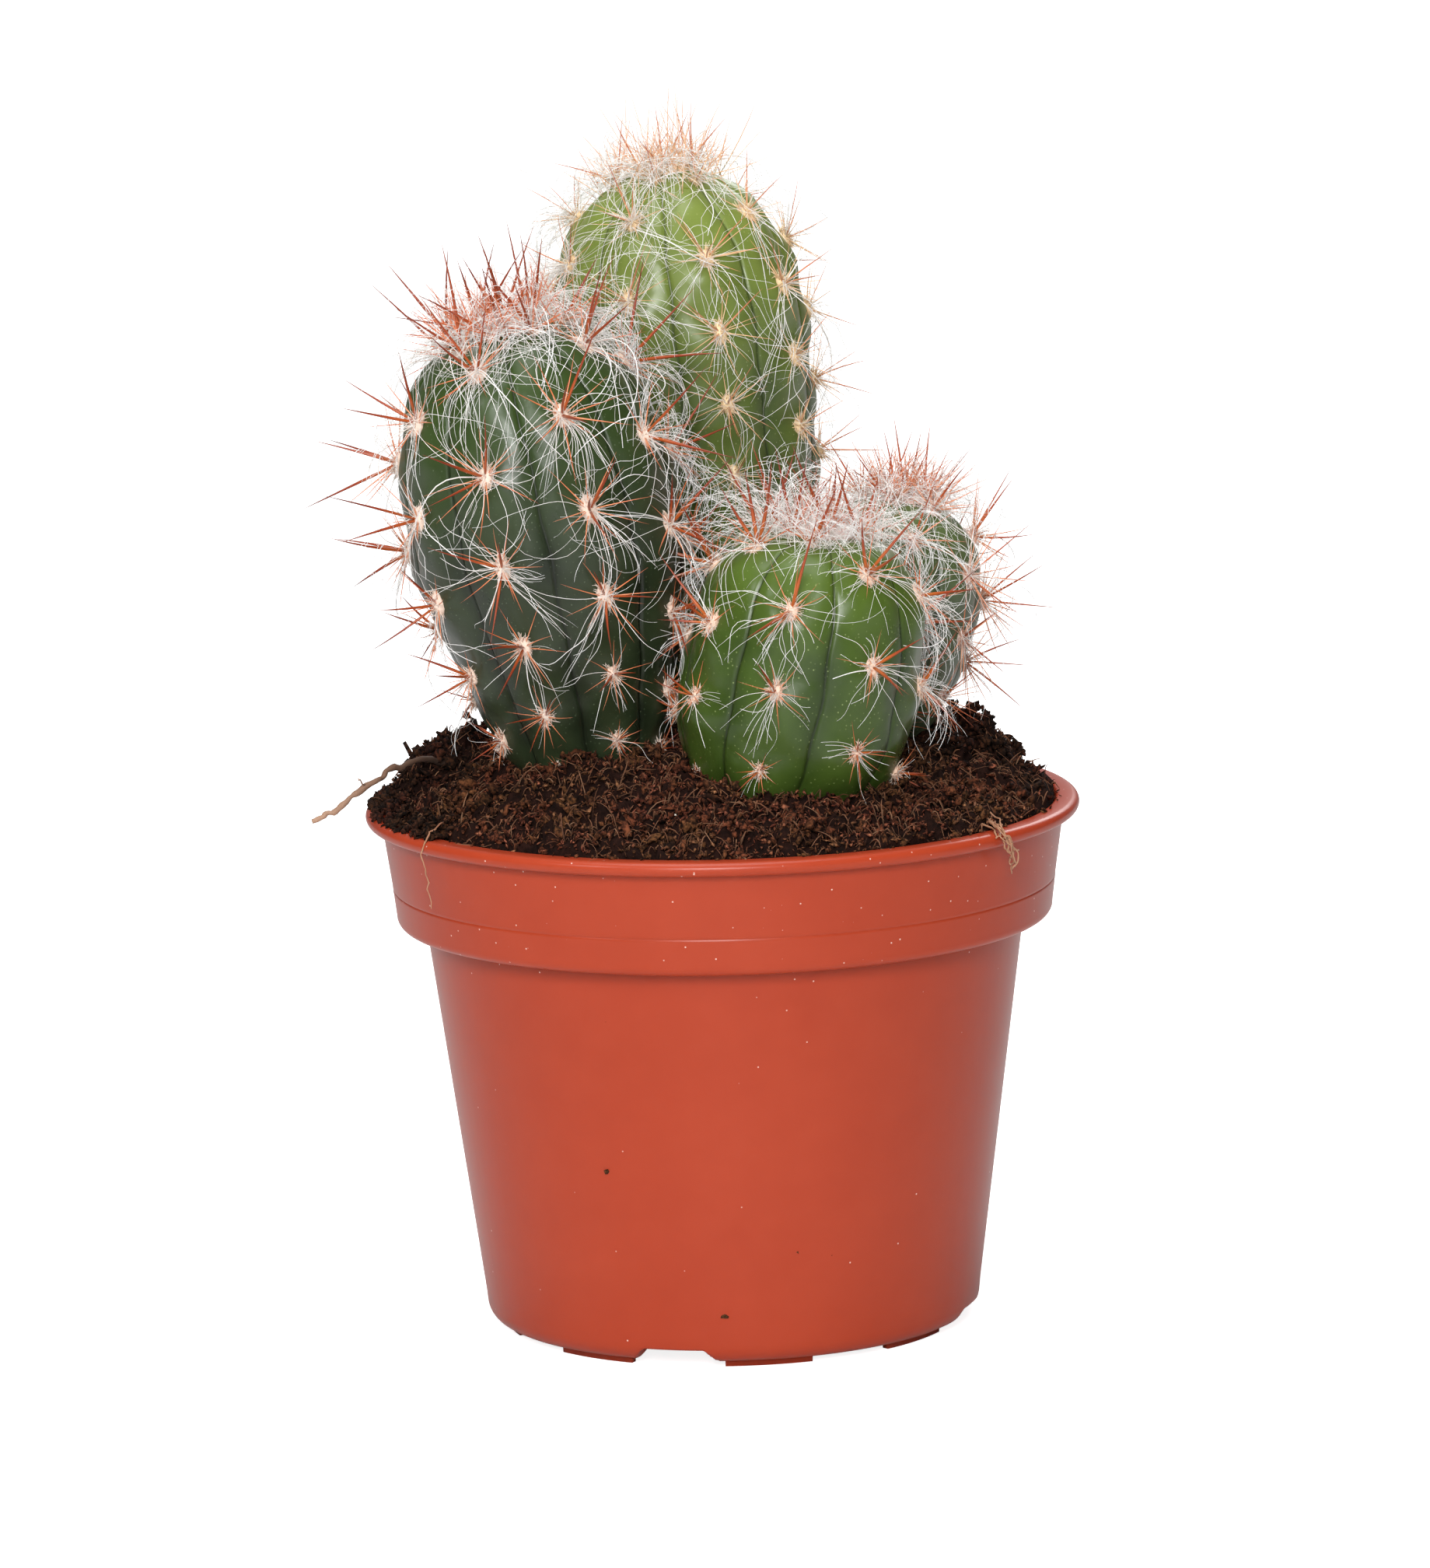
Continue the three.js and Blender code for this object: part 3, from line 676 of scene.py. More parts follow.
FIBRES = 3600
FIBRE_STEPS = 5
FIBRE_EDGE = 55.5
fibre_foot_x, fibre_foot_y = spread_out(FIBRES, FIBRE_EDGE)
fibre_length = peat_rng.lognormal(0.65, 0.5, FIBRES)
fibre_heading = peat_rng.uniform(0, 2 * np.pi, FIBRES)
fibre_bend = peat_rng.normal(0, 0.9, FIBRES)
fibre_share = np.linspace(0, 1, FIBRE_STEPS)
heading = fibre_heading[:, None] + fibre_bend[:, None] * fibre_share
hop = fibre_length[:, None] / (FIBRE_STEPS - 1)
fibre_x = fibre_foot_x[:, None] + np.cumsum(hop * np.cos(heading), 1)
fibre_y = fibre_foot_y[:, None] + np.cumsum(hop * np.sin(heading), 1)
fibre_tilt = peat_rng.normal(0, 0.45, (FIBRES, 1)) * fibre_length[:, None] * fibre_share
fibre_arch = peat_rng.uniform(0.1, 1.2, (FIBRES, 1)) * np.sin(np.pi * fibre_share)
fibre_base = peat_rng.uniform(0.1, 0.8, (FIBRES, 1))
fibre_ends = [on_peat(fibre_x[:, end], fibre_y[:, end])[:, None] for end in (0, -1)]
fibre_z = fibre_ends[0] * (1 - fibre_share) + fibre_ends[1] * fibre_share
fibre_z = fibre_z + fibre_base + fibre_arch + np.clip(fibre_tilt, -0.6, 3.5)
fibre_z = np.where(np.hypot(fibre_x, fibre_y) > 55, np.maximum(fibre_z, LIP_TOP), fibre_z)
fibre_paths = np.stack([fibre_x, fibre_y, fibre_z], -1)
fibre_radii = peat_rng.uniform(0.05, 0.17, (FIBRES, 1)) * (1 - 0.75 * fibre_share**2)
fibres = tube_along(fibre_paths, fibre_radii, 3, draw_tints(peat_rng, FIBRES))


def gradient_group():
    """Two ramps of colour up the map, root to tip, blended by a scrambled value of the tint across it."""
    group, given, out = new_group(
        "root_to_tip",
        {"Root": "Color", "Middle": "Color", "Tip": "Color", "Other": "Color", "Variety": "Float"},
        {"Colour": "Color"},
    )
    place = add_node(group, "ShaderNodeUVMap", uv_map="OFBake").outputs["UV"]
    tint, along, _ = add_node(group, "ShaderNodeSeparateXYZ", {"Vector": place}).outputs
    lower = add_mix(group, add_range(group, along, 0.0, 0.45), given["Root"], given["Middle"])
    upper = add_mix(group, add_range(group, along, 0.45, 1.0), lower, given["Tip"])
    steps = add_math(group, "MULTIPLY", tint, 37.0)
    spread = add_node(group, "ShaderNodeTexNoise", {"W": steps, "Scale": 1.0}, noise_dimensions="1D")
    choice = add_range(group, spread.outputs["Fac"], 0.35, 0.7)
    amount = add_math(group, "MULTIPLY", choice, given["Variety"])
    group.links.new(add_mix(group, amount, upper, given["Other"]), out["Colour"])
    return group


root_to_tip = gradient_group()


def strand_finish(name, root, middle, tip, other, variety, **sockets):
    """A material whose colour runs from root to tip, with another colour mixed in from strand to strand."""
    material, tree, shader = new_material(name, **sockets)
    look = {"Root": paint(root), "Middle": paint(middle), "Tip": paint(tip), "Other": paint(other)}
    colours = add_node(tree, "ShaderNodeGroup", {**look, "Variety": variety}, node_tree=root_to_tip)
    tree.links.new(colours.outputs["Colour"], shader.inputs["Base Color"])
    return material


def crumbly_group():
    """A colour made uneven: broken up by fine light and dark, partly the peat's own uneven tone and partly
    painted highlights and painted shade in the gaps, and redder or more olive from patch to patch. The fine
    pattern is put out as a height too."""
    group, given, out = new_group("crumb_tone_and_painted_shading", {"Colour": "Color"}, {"Colour": "Color", "Height": "Float"})
    place = add_node(group, "ShaderNodeTexCoord").outputs["Object"]
    fine = add_noise(group, place, 1700.0, 4.0)
    broad = add_noise(group, place, 110.0, 2.0)
    # Fine light and dark: partly painted highlights and painted shade in the gaps, partly the peat's own
    # tone.
    light = add_range(group, fine, 0.38, 0.64, 0.2, 2.1)
    hue = add_mix(group, add_range(group, broad, 0.42, 0.58), paint("#ffe4dc"), paint("#e8efd4"))
    hued = add_mix(group, 1.0, given["Colour"], hue, blend_type="MULTIPLY")
    group.links.new(add_mix(group, 1.0, hued, light, blend_type="MULTIPLY"), out["Colour"])
    group.links.new(fine, out["Height"])
    return group


crumb_tone_and_painted_shading = crumbly_group()


def add_crumb_tone_and_shading(material):
    """Puts the group of uneven tone, painted highlights and painted shade between a material's colour and its
    shader, and feeds its height to a bump.
    """
    tree = material.node_tree
    shader = tree.nodes["Principled BSDF"]
    uneven = add_node(tree, "ShaderNodeGroup", node_tree=crumb_tone_and_painted_shading)
    tree.links.new(shader.inputs["Base Color"].links[0].from_socket, uneven.inputs["Colour"])
    tree.links.new(uneven.outputs["Colour"], shader.inputs["Base Color"])
    add_bump(tree, shader, uneven.outputs["Height"], 0.8, 0.2)


PEAT_GLOSS = 0.15


def peat_strands(name, colours, variety, roughness):
    """A dull material for bits of peat, which have hardly any gloss."""
    return strand_finish(name, *colours, variety, Roughness=roughness, Specular_IOR_Level=PEAT_GLOSS)


def lay_peat(name, shape, finish):
    """A piece of loose peat on the bed."""
    piece = new_mapped_object(name, shape, finish)
    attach(piece, "root")


# Four colours of each kind of bit: at one end, in the middle, at the other end, and the odd one.
CRUMB_COLOURS = ("#0e0604", "#2c160d", "#50301f", "#65402c")
# The darker colours of the patches: at the right patch they are painted shade.
DARK_PATCH_COLOURS = ("#090402", "#1a0c07", "#341d13", "#3e2317")
FIBRE_COLOURS = ("#24120c", "#552f20", "#84573f", "#ac8566")
FLAKE_COLOURS = ("#341c12", "#62392a", "#8e604a", "#1e0f0a")
GRAIN_COLOURS = ("#c9c0b4", "#e6e0d6", "#f2efe9", "#d9c9a9")

# Crumbs spilt over the lip at the left, in the darker colours of the patches.
SPILT = 420
SPILT_OUT_TO = 59.4
spilt_reach, spilt_turn = peat_rng.uniform(54, 59.2, SPILT), np.radians(peat_rng.uniform(-108, -54, SPILT))
spilt_z = LIP_TOP + 0.1 + (SPILT_OUT_TO - spilt_reach) * peat_rng.uniform(0, 0.8, SPILT)
spilt_places = np.stack([*plan(spilt_reach, spilt_turn), spilt_z], -1)
spilt_sizes = peat_rng.uniform([0.4, 0.3, 0.15], [1.3, 0.8, 0.5], (SPILT, 3))

plain_crumbs = crumb_shapes(crumb_places[~crumb_in_dark_patch], crumb_size[~crumb_in_dark_patch], 12)
crumb_finish = peat_strands("peat_bits", CRUMB_COLOURS, 0.55, 0.95)
add_crumb_tone_and_shading(crumb_finish)
lay_peat("peat_crumbs", join_shapes([plain_crumbs, clods, wall_crumbs]), crumb_finish)

# The darker patches: at the right one, the darker colour of its crumbs and clods is painted shade.
dark_patch_crumbs = crumb_shapes(crumb_places[crumb_in_dark_patch], crumb_size[crumb_in_dark_patch], 18)
spilt_crumbs = crumb_shapes(spilt_places, spilt_sizes, 17)
dark_patch_finish = peat_strands("dark_patch_peat", DARK_PATCH_COLOURS, 0.45, 0.9)
add_crumb_tone_and_shading(dark_patch_finish)
lay_peat("dark_patch_crumbs", join_shapes([dark_patch_crumbs, dark_patch_clods, spilt_crumbs]), dark_patch_finish)

lay_peat("peat_fibres", fibres, peat_strands("peat_fibre", FIBRE_COLOURS, 0.45, 0.9))

FLAKES = 13000
FLAKE_EDGE = 56
flake_x, flake_y = spread_out(FLAKES, FLAKE_EDGE)
flake_places = np.stack([flake_x, flake_y, on_peat(flake_x, flake_y) + peat_rng.uniform(0, 0.8, FLAKES)], -1)
flake_sizes = peat_rng.uniform([0.35, 0.2, 0.06], [1.15, 0.55, 0.16], (FLAKES, 3))
outside_dark_patches = ~in_dark_patch(flake_x, flake_y) | (peat_rng.uniform(0, 1, FLAKES) < 0.1)
flakes = crumb_shapes(flake_places[outside_dark_patches], flake_sizes[outside_dark_patches], 16, rings=1, sides=4)
flake_finish = peat_strands("peat_flake", FLAKE_COLOURS, 0.8, 0.85)
add_crumb_tone_and_shading(flake_finish)
lay_peat("peat_flakes", flakes, flake_finish)

GRAINS = 40
GRAIN_EDGE = 53
grain_x, grain_y = spread_out(GRAINS, GRAIN_EDGE, 0.1)
grain_places = np.stack([grain_x, grain_y, peat_height(grain_x, grain_y) + 0.9], -1)
grain_sizes = peat_rng.uniform(0.12, 0.34, (GRAINS, 3))
grains = crumb_shapes(grain_places, grain_sizes, 14)
lay_peat("white_grains", grains, strand_finish("white_grain", *GRAIN_COLOURS, 0.5, Roughness=0.6))


# ------------------------------------------------------------------ stems
# Four stems of one cactus: a tall light green column, a dark green club, a short stout light green stem and a
# small grey-green one. Each has rounded ribs with a swelling at every areole and a fine furrow between ribs.
# Foot, tip and bow give the middle line. The reach comes from radius, waist and flare below the belly, which
# is a share of the height, and from dome above it. The ribs start at first_rib, and each rib's areoles, so
# many to the height and closer together towards the foot with more crowding, are shifted by its offset.
# The crown reaches further down on one side, and one side has more hair.
STEMS = {
    "tall_stem": dict(
        foot=(0.5, 27, 99), tip=(-7.8, 24, 192.6), bow=0.0, radius=21.8, waist=0.8, flare=1.6, belly=0.7,
        dome=2.1, ribs=9, rib_depth=0.04, first_rib=18.5, areoles=7.7, crowding=1.0, swelling=0.58,
        offsets=(0.6, 0.05, 0.5, 0.0, 0.55, 0.1, 0.1, 0.6, 0.15),
        crown_faces=(180, 0.0), shaggy_side=(-75, 2.8),
    ),
    "left_stem": dict(
        foot=(-22.2, -8, 98), tip=(-35.2, -11, 170.8), bow=0.8, radius=23.1, waist=0.58, flare=1.15,
        belly=0.48, dome=2.6, ribs=9, rib_depth=0.045, first_rib=-18, areoles=5.4, crowding=1.2, swelling=0.4,
        offsets=(0.12, 0.55, 0.08, 0.7, 0.2, 0.65, 0.1, 0.2, 0.72),
        crown_faces=(120, 0.05), shaggy_side=(85, 0.5),
    ),
    "front_stem": dict(
        foot=(8.5, -22, 94), tip=(17.2, -24, 137), bow=1.2, radius=19.7, waist=0.76, flare=1.6, belly=0.3,
        dome=3.2, ribs=8, rib_depth=0.032, first_rib=-13, areoles=3.2, crowding=1.0, swelling=0.5,
        offsets=(0.45, 0.9, 0.6, 0.1, 0.6, 0.05, 0.6, 0.05),
        crown_faces=(150, 0.03), shaggy_side=(75, 0.5),
    ),
    "rear_stem": dict(
        foot=(26, 10, 98), tip=(31.5, 11, 137.6), bow=0.0, radius=15.2, waist=0.6, flare=1.6, belly=0.56,
        dome=2.4, ribs=8, rib_depth=0.055, first_rib=10, areoles=3.8, crowding=1.0, swelling=0.35,
        offsets=(0.25, 0.75, 0.25, 0.7, 0.2, 0.7, 0.25, 0.75),
        crown_faces=(90, 0.03), shaggy_side=(20, 0.3),
    ),
}


def stem_line(stem, share):
    """The middle line at a share of the stem's height, straight from foot to tip with a bow towards +X, and
    the three directions there: along the line, and +X and +Y turned by the smallest turn from +Z onto it."""
    foot, tip = np.array(stem["foot"]), np.array(stem["tip"])
    share = np.asarray(share)[..., None]
    bow = np.array([stem["bow"], 0, 0])
    middle = foot + (tip - foot) * share + bow * 4 * share * (1 - share)
    along = unit(tip - foot + bow * (4 - 8 * share))
    dx, dy, dz = along[..., 0], along[..., 1], along[..., 2]
    side = np.stack([1 - dx * dx / (1 + dz), -dx * dy / (1 + dz), -dx], -1)
    back = np.stack([-dx * dy / (1 + dz), 1 - dy * dy / (1 + dz), -dy], -1)
    return middle, along, side, back


def stem_reach(stem, share):
    """The stem's radius over its ribs: it widens from the waist at the foot by a power of the share up to the
    belly, and from there closes in a superellipse dome."""
    low = np.clip((stem["belly"] - share) / stem["belly"], 0, 1)
    high = np.clip((share - stem["belly"]) / (1 - stem["belly"]), 0, 1)
    widening = 1 - (1 - stem["waist"]) * low ** stem["flare"]
    dome = (1 - high ** stem["dome"]) ** (1 / stem["dome"])
    return stem["radius"] * np.where(share < stem["belly"], widening, dome)


def areole_phase(stem, share, rib):
    """A number that is whole at each areole of a rib, counted up from the foot."""
    offsets = np.array(stem["offsets"])[np.asarray(rib).astype(int) % stem["ribs"]]
    return stem["areoles"] * np.clip(share, 0, 1) ** (1 / stem["crowding"]) - offsets


FURROW_WANDER = 0.007
FURROW_DEPTH = 0.32
FURROW_WIDTH = 0.3
SWELLING_BELOW = 0.22


def rib_place(stem, share, turn):
    """Where a turn lies on its rib, from -0.5 at one furrow over 0 on the crest to 0.5, and the rib's number.
    A furrow bends away from the areoles on both its sides."""
    place = (turn - np.radians(stem["first_rib"])) * stem["ribs"] / (2 * np.pi)
    lower = np.floor(place)
    push = np.cos(2 * np.pi * areole_phase(stem, share, lower))
    push = push - np.cos(2 * np.pi * areole_phase(stem, share, lower + 1))
    place = place - FURROW_WANDER * push * np.sin(np.pi * (place - lower)) ** 2
    rib = np.round(place)
    return place - rib, rib


def skin_point(stem, share, turn):
    """A point of the skin: out from the middle line by the reach, less the rib's hollow, which is one less
    the cosine across the rib, plus a swelling that peaks just under each areole, less a fine furrow."""
    share, turn = np.broadcast_arrays(share, turn)
    middle, _, side, back = stem_line(stem, share)
    reach = stem_reach(stem, share)
    across, rib = rib_place(stem, share, turn)
    crest = abs(np.cos(np.pi * across))
    below_areole = areole_phase(stem, share, rib) + SWELLING_BELOW
    swelling = stem["swelling"] * crest**2 * np.cos(2 * np.pi * below_areole)
    from_furrow = (0.5 - abs(across)) * reach * 2 * np.pi / stem["ribs"]
    furrow = FURROW_DEPTH * np.exp(-((from_furrow / FURROW_WIDTH) ** 2))
    fade = np.clip(reach / stem["radius"] / 0.4, 0, 1)
    reach = reach * (1 - stem["rib_depth"] * (1 - crest) ** 1.5) + fade * (swelling - furrow)
    return middle + reach[..., None] * (np.sin(turn)[..., None] * side - np.cos(turn)[..., None] * back)


def skin_frame(stem, share, turn):
    """The skin's directions at a point: outwards, up the rib and sideways along the growing turn. They come
    from points a little above, below and to both sides of it."""
    up = skin_point(stem, share + 0.004, turn) - skin_point(stem, share - 0.004, turn)
    sideways = skin_point(stem, share, turn + 0.01) - skin_point(stem, share, turn - 0.01)
    out, up = unit(np.cross(sideways, up)), unit(up)
    return out, up, np.cross(up, out)


def even_shares(stem, spacing):
    """Shares of the height at which rows of the skin are evenly spaced along its outline."""
    fine = np.concatenate([np.linspace(-0.1, 0, 60, endpoint=False), 1 - np.linspace(1, 0.02, 3000) ** 2.5])
    height = fine * np.linalg.norm(np.subtract(stem["tip"], stem["foot"]))
    run = np.concatenate([[0], np.cumsum(np.hypot(np.diff(stem_reach(stem, fine)), np.diff(height)))])
    return np.interp(np.linspace(0, run[-1], int(run[-1] / spacing)), run, fine)


def rib_turns(stem, columns):
    """Turns round the stem, with the same number of columns on each rib, closer together at its furrows."""
    place = np.linspace(-0.5, 0.5, columns, endpoint=False)
    place = 0.62 * place + 0.19 * np.sin(np.pi * place)
    turns = (np.arange(stem["ribs"])[:, None] + place).ravel() * 2 * np.pi / stem["ribs"]
    return turns + np.radians(stem["first_rib"])


def grow_skin(name, stem, spacing, columns):
    """The stem's skin as a mesh object, with two numbers kept at each point: how near the crest of its rib it
    is, and its share of the height."""
    shares, turns = even_shares(stem, spacing)[:, None], rib_turns(stem, columns)
    points = skin_point(stem, shares, turns)
    outwards = unit(points - stem_line(stem, shares)[0], 1e-9)
    dents = value_noise(points, 4.5, 21) + 0.5 * value_noise(points, 2.1, 22) - 0.75
    points = points + 0.3 * dents[..., None] * outwards * (shares[..., None] < 0.97)
    ends = stem_line(stem, np.array([-0.1, 1.0]))[0]
    all_points = np.concatenate([ends[:1], points.reshape(-1, 3), ends[1:]])
    made = new_mesh_object(name, all_points, ringed_faces(len(shares), len(turns)))
    crest = abs(np.cos(np.pi * rib_place(stem, shares, turns)[0])).ravel()
    rise = (shares + 0 * turns).ravel()
    for kept, values, first, last in (("crest", crest, 1, 1), ("rise", rise, 0, 1)):
        layer = made.data.attributes.new(kept, "FLOAT", "POINT")
        layer.data.foreach_set("value", np.concatenate([[first], values, [last]]).astype(np.float32))
    return made


def skin_group():
    """The patterns of the living skin: bloom patches, a lightening towards the crests that is painted light
    on the crests and painted shade in the valleys, the dark line of the furrow, partly its own colour and
    partly painted shade in the crease, a young zone near the top, tiny pale pores, a fine height, and wax
    that varies in gloss."""
    masks = dict.fromkeys(("Light", "Furrow_Line_And_Shade", "Young", "Pores", "Height", "Wax"), "Float")
    group, given, out = new_group("living_skin", {"Young From": "Float", "Bloom": "Float"}, masks)
    place = add_node(group, "ShaderNodeTexCoord").outputs["Object"]
    crest = add_node(group, "ShaderNodeAttribute", attribute_name="crest").outputs["Fac"]
    rise = add_node(group, "ShaderNodeAttribute", attribute_name="rise").outputs["Fac"]
    broad = add_noise(group, place, 130.0, 4.0)
    fine = add_noise(group, place, 900.0, 3.0)
    patches = add_math(group, "MULTIPLY", add_range(group, broad, 0.3, 0.7), given["Bloom"])
    # Lighter towards the crests and darker towards the furrows: painted light and painted shade.
    painted_crest_light_valley_shade = add_range(group, crest, 0.1, 1.0, 0.1, 0.75)
    cells = add_node(group, "ShaderNodeTexVoronoi", {"Vector": place, "Scale": 1300.0}).outputs
    dot = add_range(group, cells["Distance"], 0.08, 0.22, 1.0, 0.0)
    rare = add_node(group, "ShaderNodeSeparateColor", {"Color": cells["Color"]}).outputs[0]
    made = {
        "Light": add_math(group, "ADD", patches, painted_crest_light_valley_shade, use_clamp=True),
        # The dark furrow line: partly the furrow's own colour, partly painted shade in the crease.
        "Furrow_Line_And_Shade": add_range(group, crest, 0.0, 0.075, 1.0, 0.0),
        "Young": add_range(group, rise, given["Young From"], 1.0),
        "Pores": add_math(group, "MULTIPLY", dot, add_range(group, rare, 0.15, 0.9)),
        "Height": fine,
        "Wax": add_range(group, broad, 0.0, 1.0, 0.22, 0.38),
    }
    for socket, value in made.items():
        group.links.new(value, out[socket])
    return group


living_skin = skin_group()


def skin_finish(name, dark, light, furrow, young, pore, young_from, bloom):
    """Waxy skin in this stem's own greens."""
    material, tree, shader = new_material(name, IOR=1.42, Specular_IOR_Level=0.55)
    look = {"Young From": young_from, "Bloom": bloom}
    skin = add_node(tree, "ShaderNodeGroup", look, node_tree=living_skin).outputs
    colour = paint(dark)
    # The Light layer paints light on the crests and shade in the valleys; the furrow layer is partly painted
    # shade.
    layers = (("Light", light, 1.0), ("Young", young, 0.75), ("Pores", pore, 0.55), ("Furrow_Line_And_Shade", furrow, 0.85))
    for mask, code, amount in layers:
        colour = add_mix(tree, add_math(tree, "MULTIPLY", skin[mask], amount), colour, paint(code))
    tree.links.new(colour, shader.inputs["Base Color"])
    tree.links.new(skin["Wax"], shader.inputs["Roughness"])
    add_bump(tree, shader, skin["Height"], 0.3, 0.06)
    return material


# For each stem: the spacing of its skin's rows, the columns on a rib, its slot, the share of the height where
# its young zone starts, and how patchy it is.
SKINS = {
    "tall_stem": (0.58, 34, "light_green_skin", 0.6, 0.6),
    "left_stem": (0.6, 34, "dark_green_skin", 0.5, 0.7),
    "front_stem": (0.5, 38, "light_green_skin", 0.6, 0.6),
    "rear_stem": (0.6, 32, "grey_green_skin", 0.6, 0.7),
}
# Its greens: dark, light, furrow, young and pore.
# The light green reaches the crests as painted light, the dark green the valleys as painted shade, and the
# furrow colour is partly painted shade in the crease.
GREENS = {
    "tall_stem": ("#2f4019", "#5b6c32", "#18260f", "#8a9b47", "#b9c48c"),
    "left_stem": ("#131a11", "#2e3823", "#080c06", "#405822", "#6d7a60"),
    "front_stem": ("#22330d", "#40551e", "#0f1806", "#5e7628", "#a8b878"),
    "rear_stem": ("#26321c", "#505d42", "#121a0e", "#5f7338", "#b3bfa2"),
}
for name, (spacing, columns, slot, young_from, bloom) in SKINS.items():
    skin = grow_skin(name.replace("stem", "skin"), STEMS[name], spacing, columns)
    flesh = skin_finish(name.replace("stem", "flesh"), *GREENS[name], young_from, bloom)
    skin.data.materials.append(flesh)
    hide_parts(name)
    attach(skin, "root")


# ------------------------------------------------------------------ felt cushions
# Each areole is an oval cushion of cream felt on the crest of a rib, just above a swelling, thick with short
# fuzz. They stand in a row up every rib, and those of neighbouring ribs stand at different heights.
def skin_places(stem, share, turn, highest):
    """Places on the skin: their share of the height, turn, centre and three directions, which above the
    highest share are those at it, because they are lost at the very tip."""
    out, up, side = skin_frame(stem, np.minimum(share, highest), turn)
    return dict(share=share, turn=turn, centre=skin_point(stem, share, turn), out=out, up=up, side=side)


MOST_ROWS = 12
GOLDEN_ANGLE = 2.4


def find_areoles(stem, top):
    """Places of the areoles in the rows up a stem's ribs, below a share of its height."""
    shares, turns = [], []
    for rib, offset in enumerate(stem["offsets"]):
        rows = (np.arange(MOST_ROWS) + offset) / stem["areoles"]
        rows = rows[rows < top ** (1 / stem["crowding"])] ** stem["crowding"]
        shares.append(rows)
        turns.append(np.full(len(rows), np.radians(stem["first_rib"] + 360 * rib / stem["ribs"])))
    return skin_places(stem, np.concatenate(shares), np.concatenate(turns), top)


def young_areoles(stem, first, count):
    """Places of the youngest areoles, in a spiral of golden-angle steps that closes in on the top."""
    share = 1 - (1 - first) * ((np.arange(count) + 0.6) / count) ** 1.6
    turn = GOLDEN_ANGLE * np.arange(count) + 0.4
    return skin_places(stem, share, turn, 0.992)


def in_frame(places, amounts):
    """Directions or offsets made of amounts along side, up and out, some of them at each place."""
    axes = np.stack([places["side"], places["up"], places["out"]], 1)
    return np.einsum("nkj,nji->nki", amounts, axes)


def cushion_shapes(places, size, rng, rings=5, sides=10):
    """Oval domes that stand a little into the skin: a squashed ball whose every point is dented at random."""
    polar = np.concatenate([[0], np.repeat(np.linspace(0.2, 1, rings), sides), [1.0]]) * np.pi * 0.62
    polar = np.concatenate([[np.pi], np.pi * 0.62 - polar[1:-1] + 0.2, [0]])
    turn = 2 * np.pi * np.concatenate([[0], np.tile(np.arange(sides), rings), [0]]) / sides
    ball = np.stack([*plan(np.sin(polar), turn), np.cos(polar)], -1)
    count = len(places["share"])
    dents = rng.uniform(0.86, 1.14, (count, len(ball), 1))
    points = in_frame(places, ball * dents * size[:, None, :]) + places["centre"][:, None, :]
    rise = 0.5 * (1 + np.cos(polar)) * 0.5
    across = (0.5 + 0.5 * np.sin(polar) * np.sin(turn)) * TINT_WIDTH
    return scattered_balls(points, rings, sides, across, rise, draw_tints(rng, count))


def repeat_places(places, times):
    """The same areoles, each repeated a number of times in a row."""
    return {key: np.repeat(values, times, axis=0) for key, values in places.items()}


def fuzz_shapes(places, size, each, length, rng):
    """Short fuzz on cushions: strands of three points that start on the dome and lean off it at random."""
    many = repeat_places(places, each)
    size = np.repeat(size, each, axis=0)
    tilt = np.arccos(rng.uniform(0.05, 1, len(size)))
    turn = rng.uniform(0, 2 * np.pi, len(size))
    ball = np.stack([*plan(np.sin(tilt), turn), np.cos(tilt)], -1)
    lean = unit(ball + rng.normal(0, 0.45, ball.shape))
    second = lean + rng.normal(0, 0.5, ball.shape)
    reach = rng.uniform(0.5, 1, (len(size), 1)) * length
    middle = ball * size + 0.45 * reach * lean
    end = ball * size + reach * 0.5 * (lean + second)
    paths = in_frame(many, np.stack([0.75 * ball * size, middle, end], 1)) + many["centre"][:, None]
    radii = np.array([0.08, 0.065, 0.025]) * rng.uniform(0.7, 1.2, (len(size), 1))
    return tube_along(paths, radii, 3, draw_tints(rng, len(size)))


# For each stem: the size of its cushions, the share of the height that the rows reach, the share where the
# youngest areoles start and their number, and the four colours of the felt.
FELTS = {
    "tall_stem": (1.15, 0.965, 0.978, 9, "#d8b080", "#f6deb4", "#fdf0d6", "#ecc496"),
    "left_stem": (1.4, 0.95, 0.972, 12, "#d8b49e", "#f8e4d4", "#fdf3ea", "#f0cbb2"),
    "front_stem": (1.1, 0.96, 0.978, 8, "#d8ae94", "#f6dcc8", "#fcefe4", "#eabc9c"),
    "rear_stem": (1.05, 0.95, 0.965, 9, "#d4ae9a", "#f2dacc", "#faece4", "#e6bcaa"),
}
FUZZ_PER_CUSHION = 64
FUZZ_LENGTH = 1.5
areoles = {}
for order, (name, (cushion, top, first, count, *colours)) in enumerate(FELTS.items()):
    rng = np.random.default_rng(100 + order)
    old, young = find_areoles(STEMS[name], top), young_areoles(STEMS[name], first, count)
    places = {key: np.concatenate([old[key], young[key]]) for key in old}
    areoles[name] = places
    grown = cushion * np.interp(places["share"], [0, 0.5, 0.94, 1], [0.55, 1, 1, 0.6])
    size = np.array([1.0, 1.5, 0.8]) * grown[:, None] * rng.uniform(0.88, 1.15, (len(grown), 3))
    domes = cushion_shapes(places, size, rng)
    fuzz = fuzz_shapes(places, size, FUZZ_PER_CUSHION, FUZZ_LENGTH, rng)
    felt = strand_finish(name.replace("stem", "felt"), *colours, 0.5, Roughness=0.85)
    cushions = new_mapped_object(name.replace("stem", "cushions"), join_shapes([domes, fuzz]), felt)
    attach(cushions, "root")


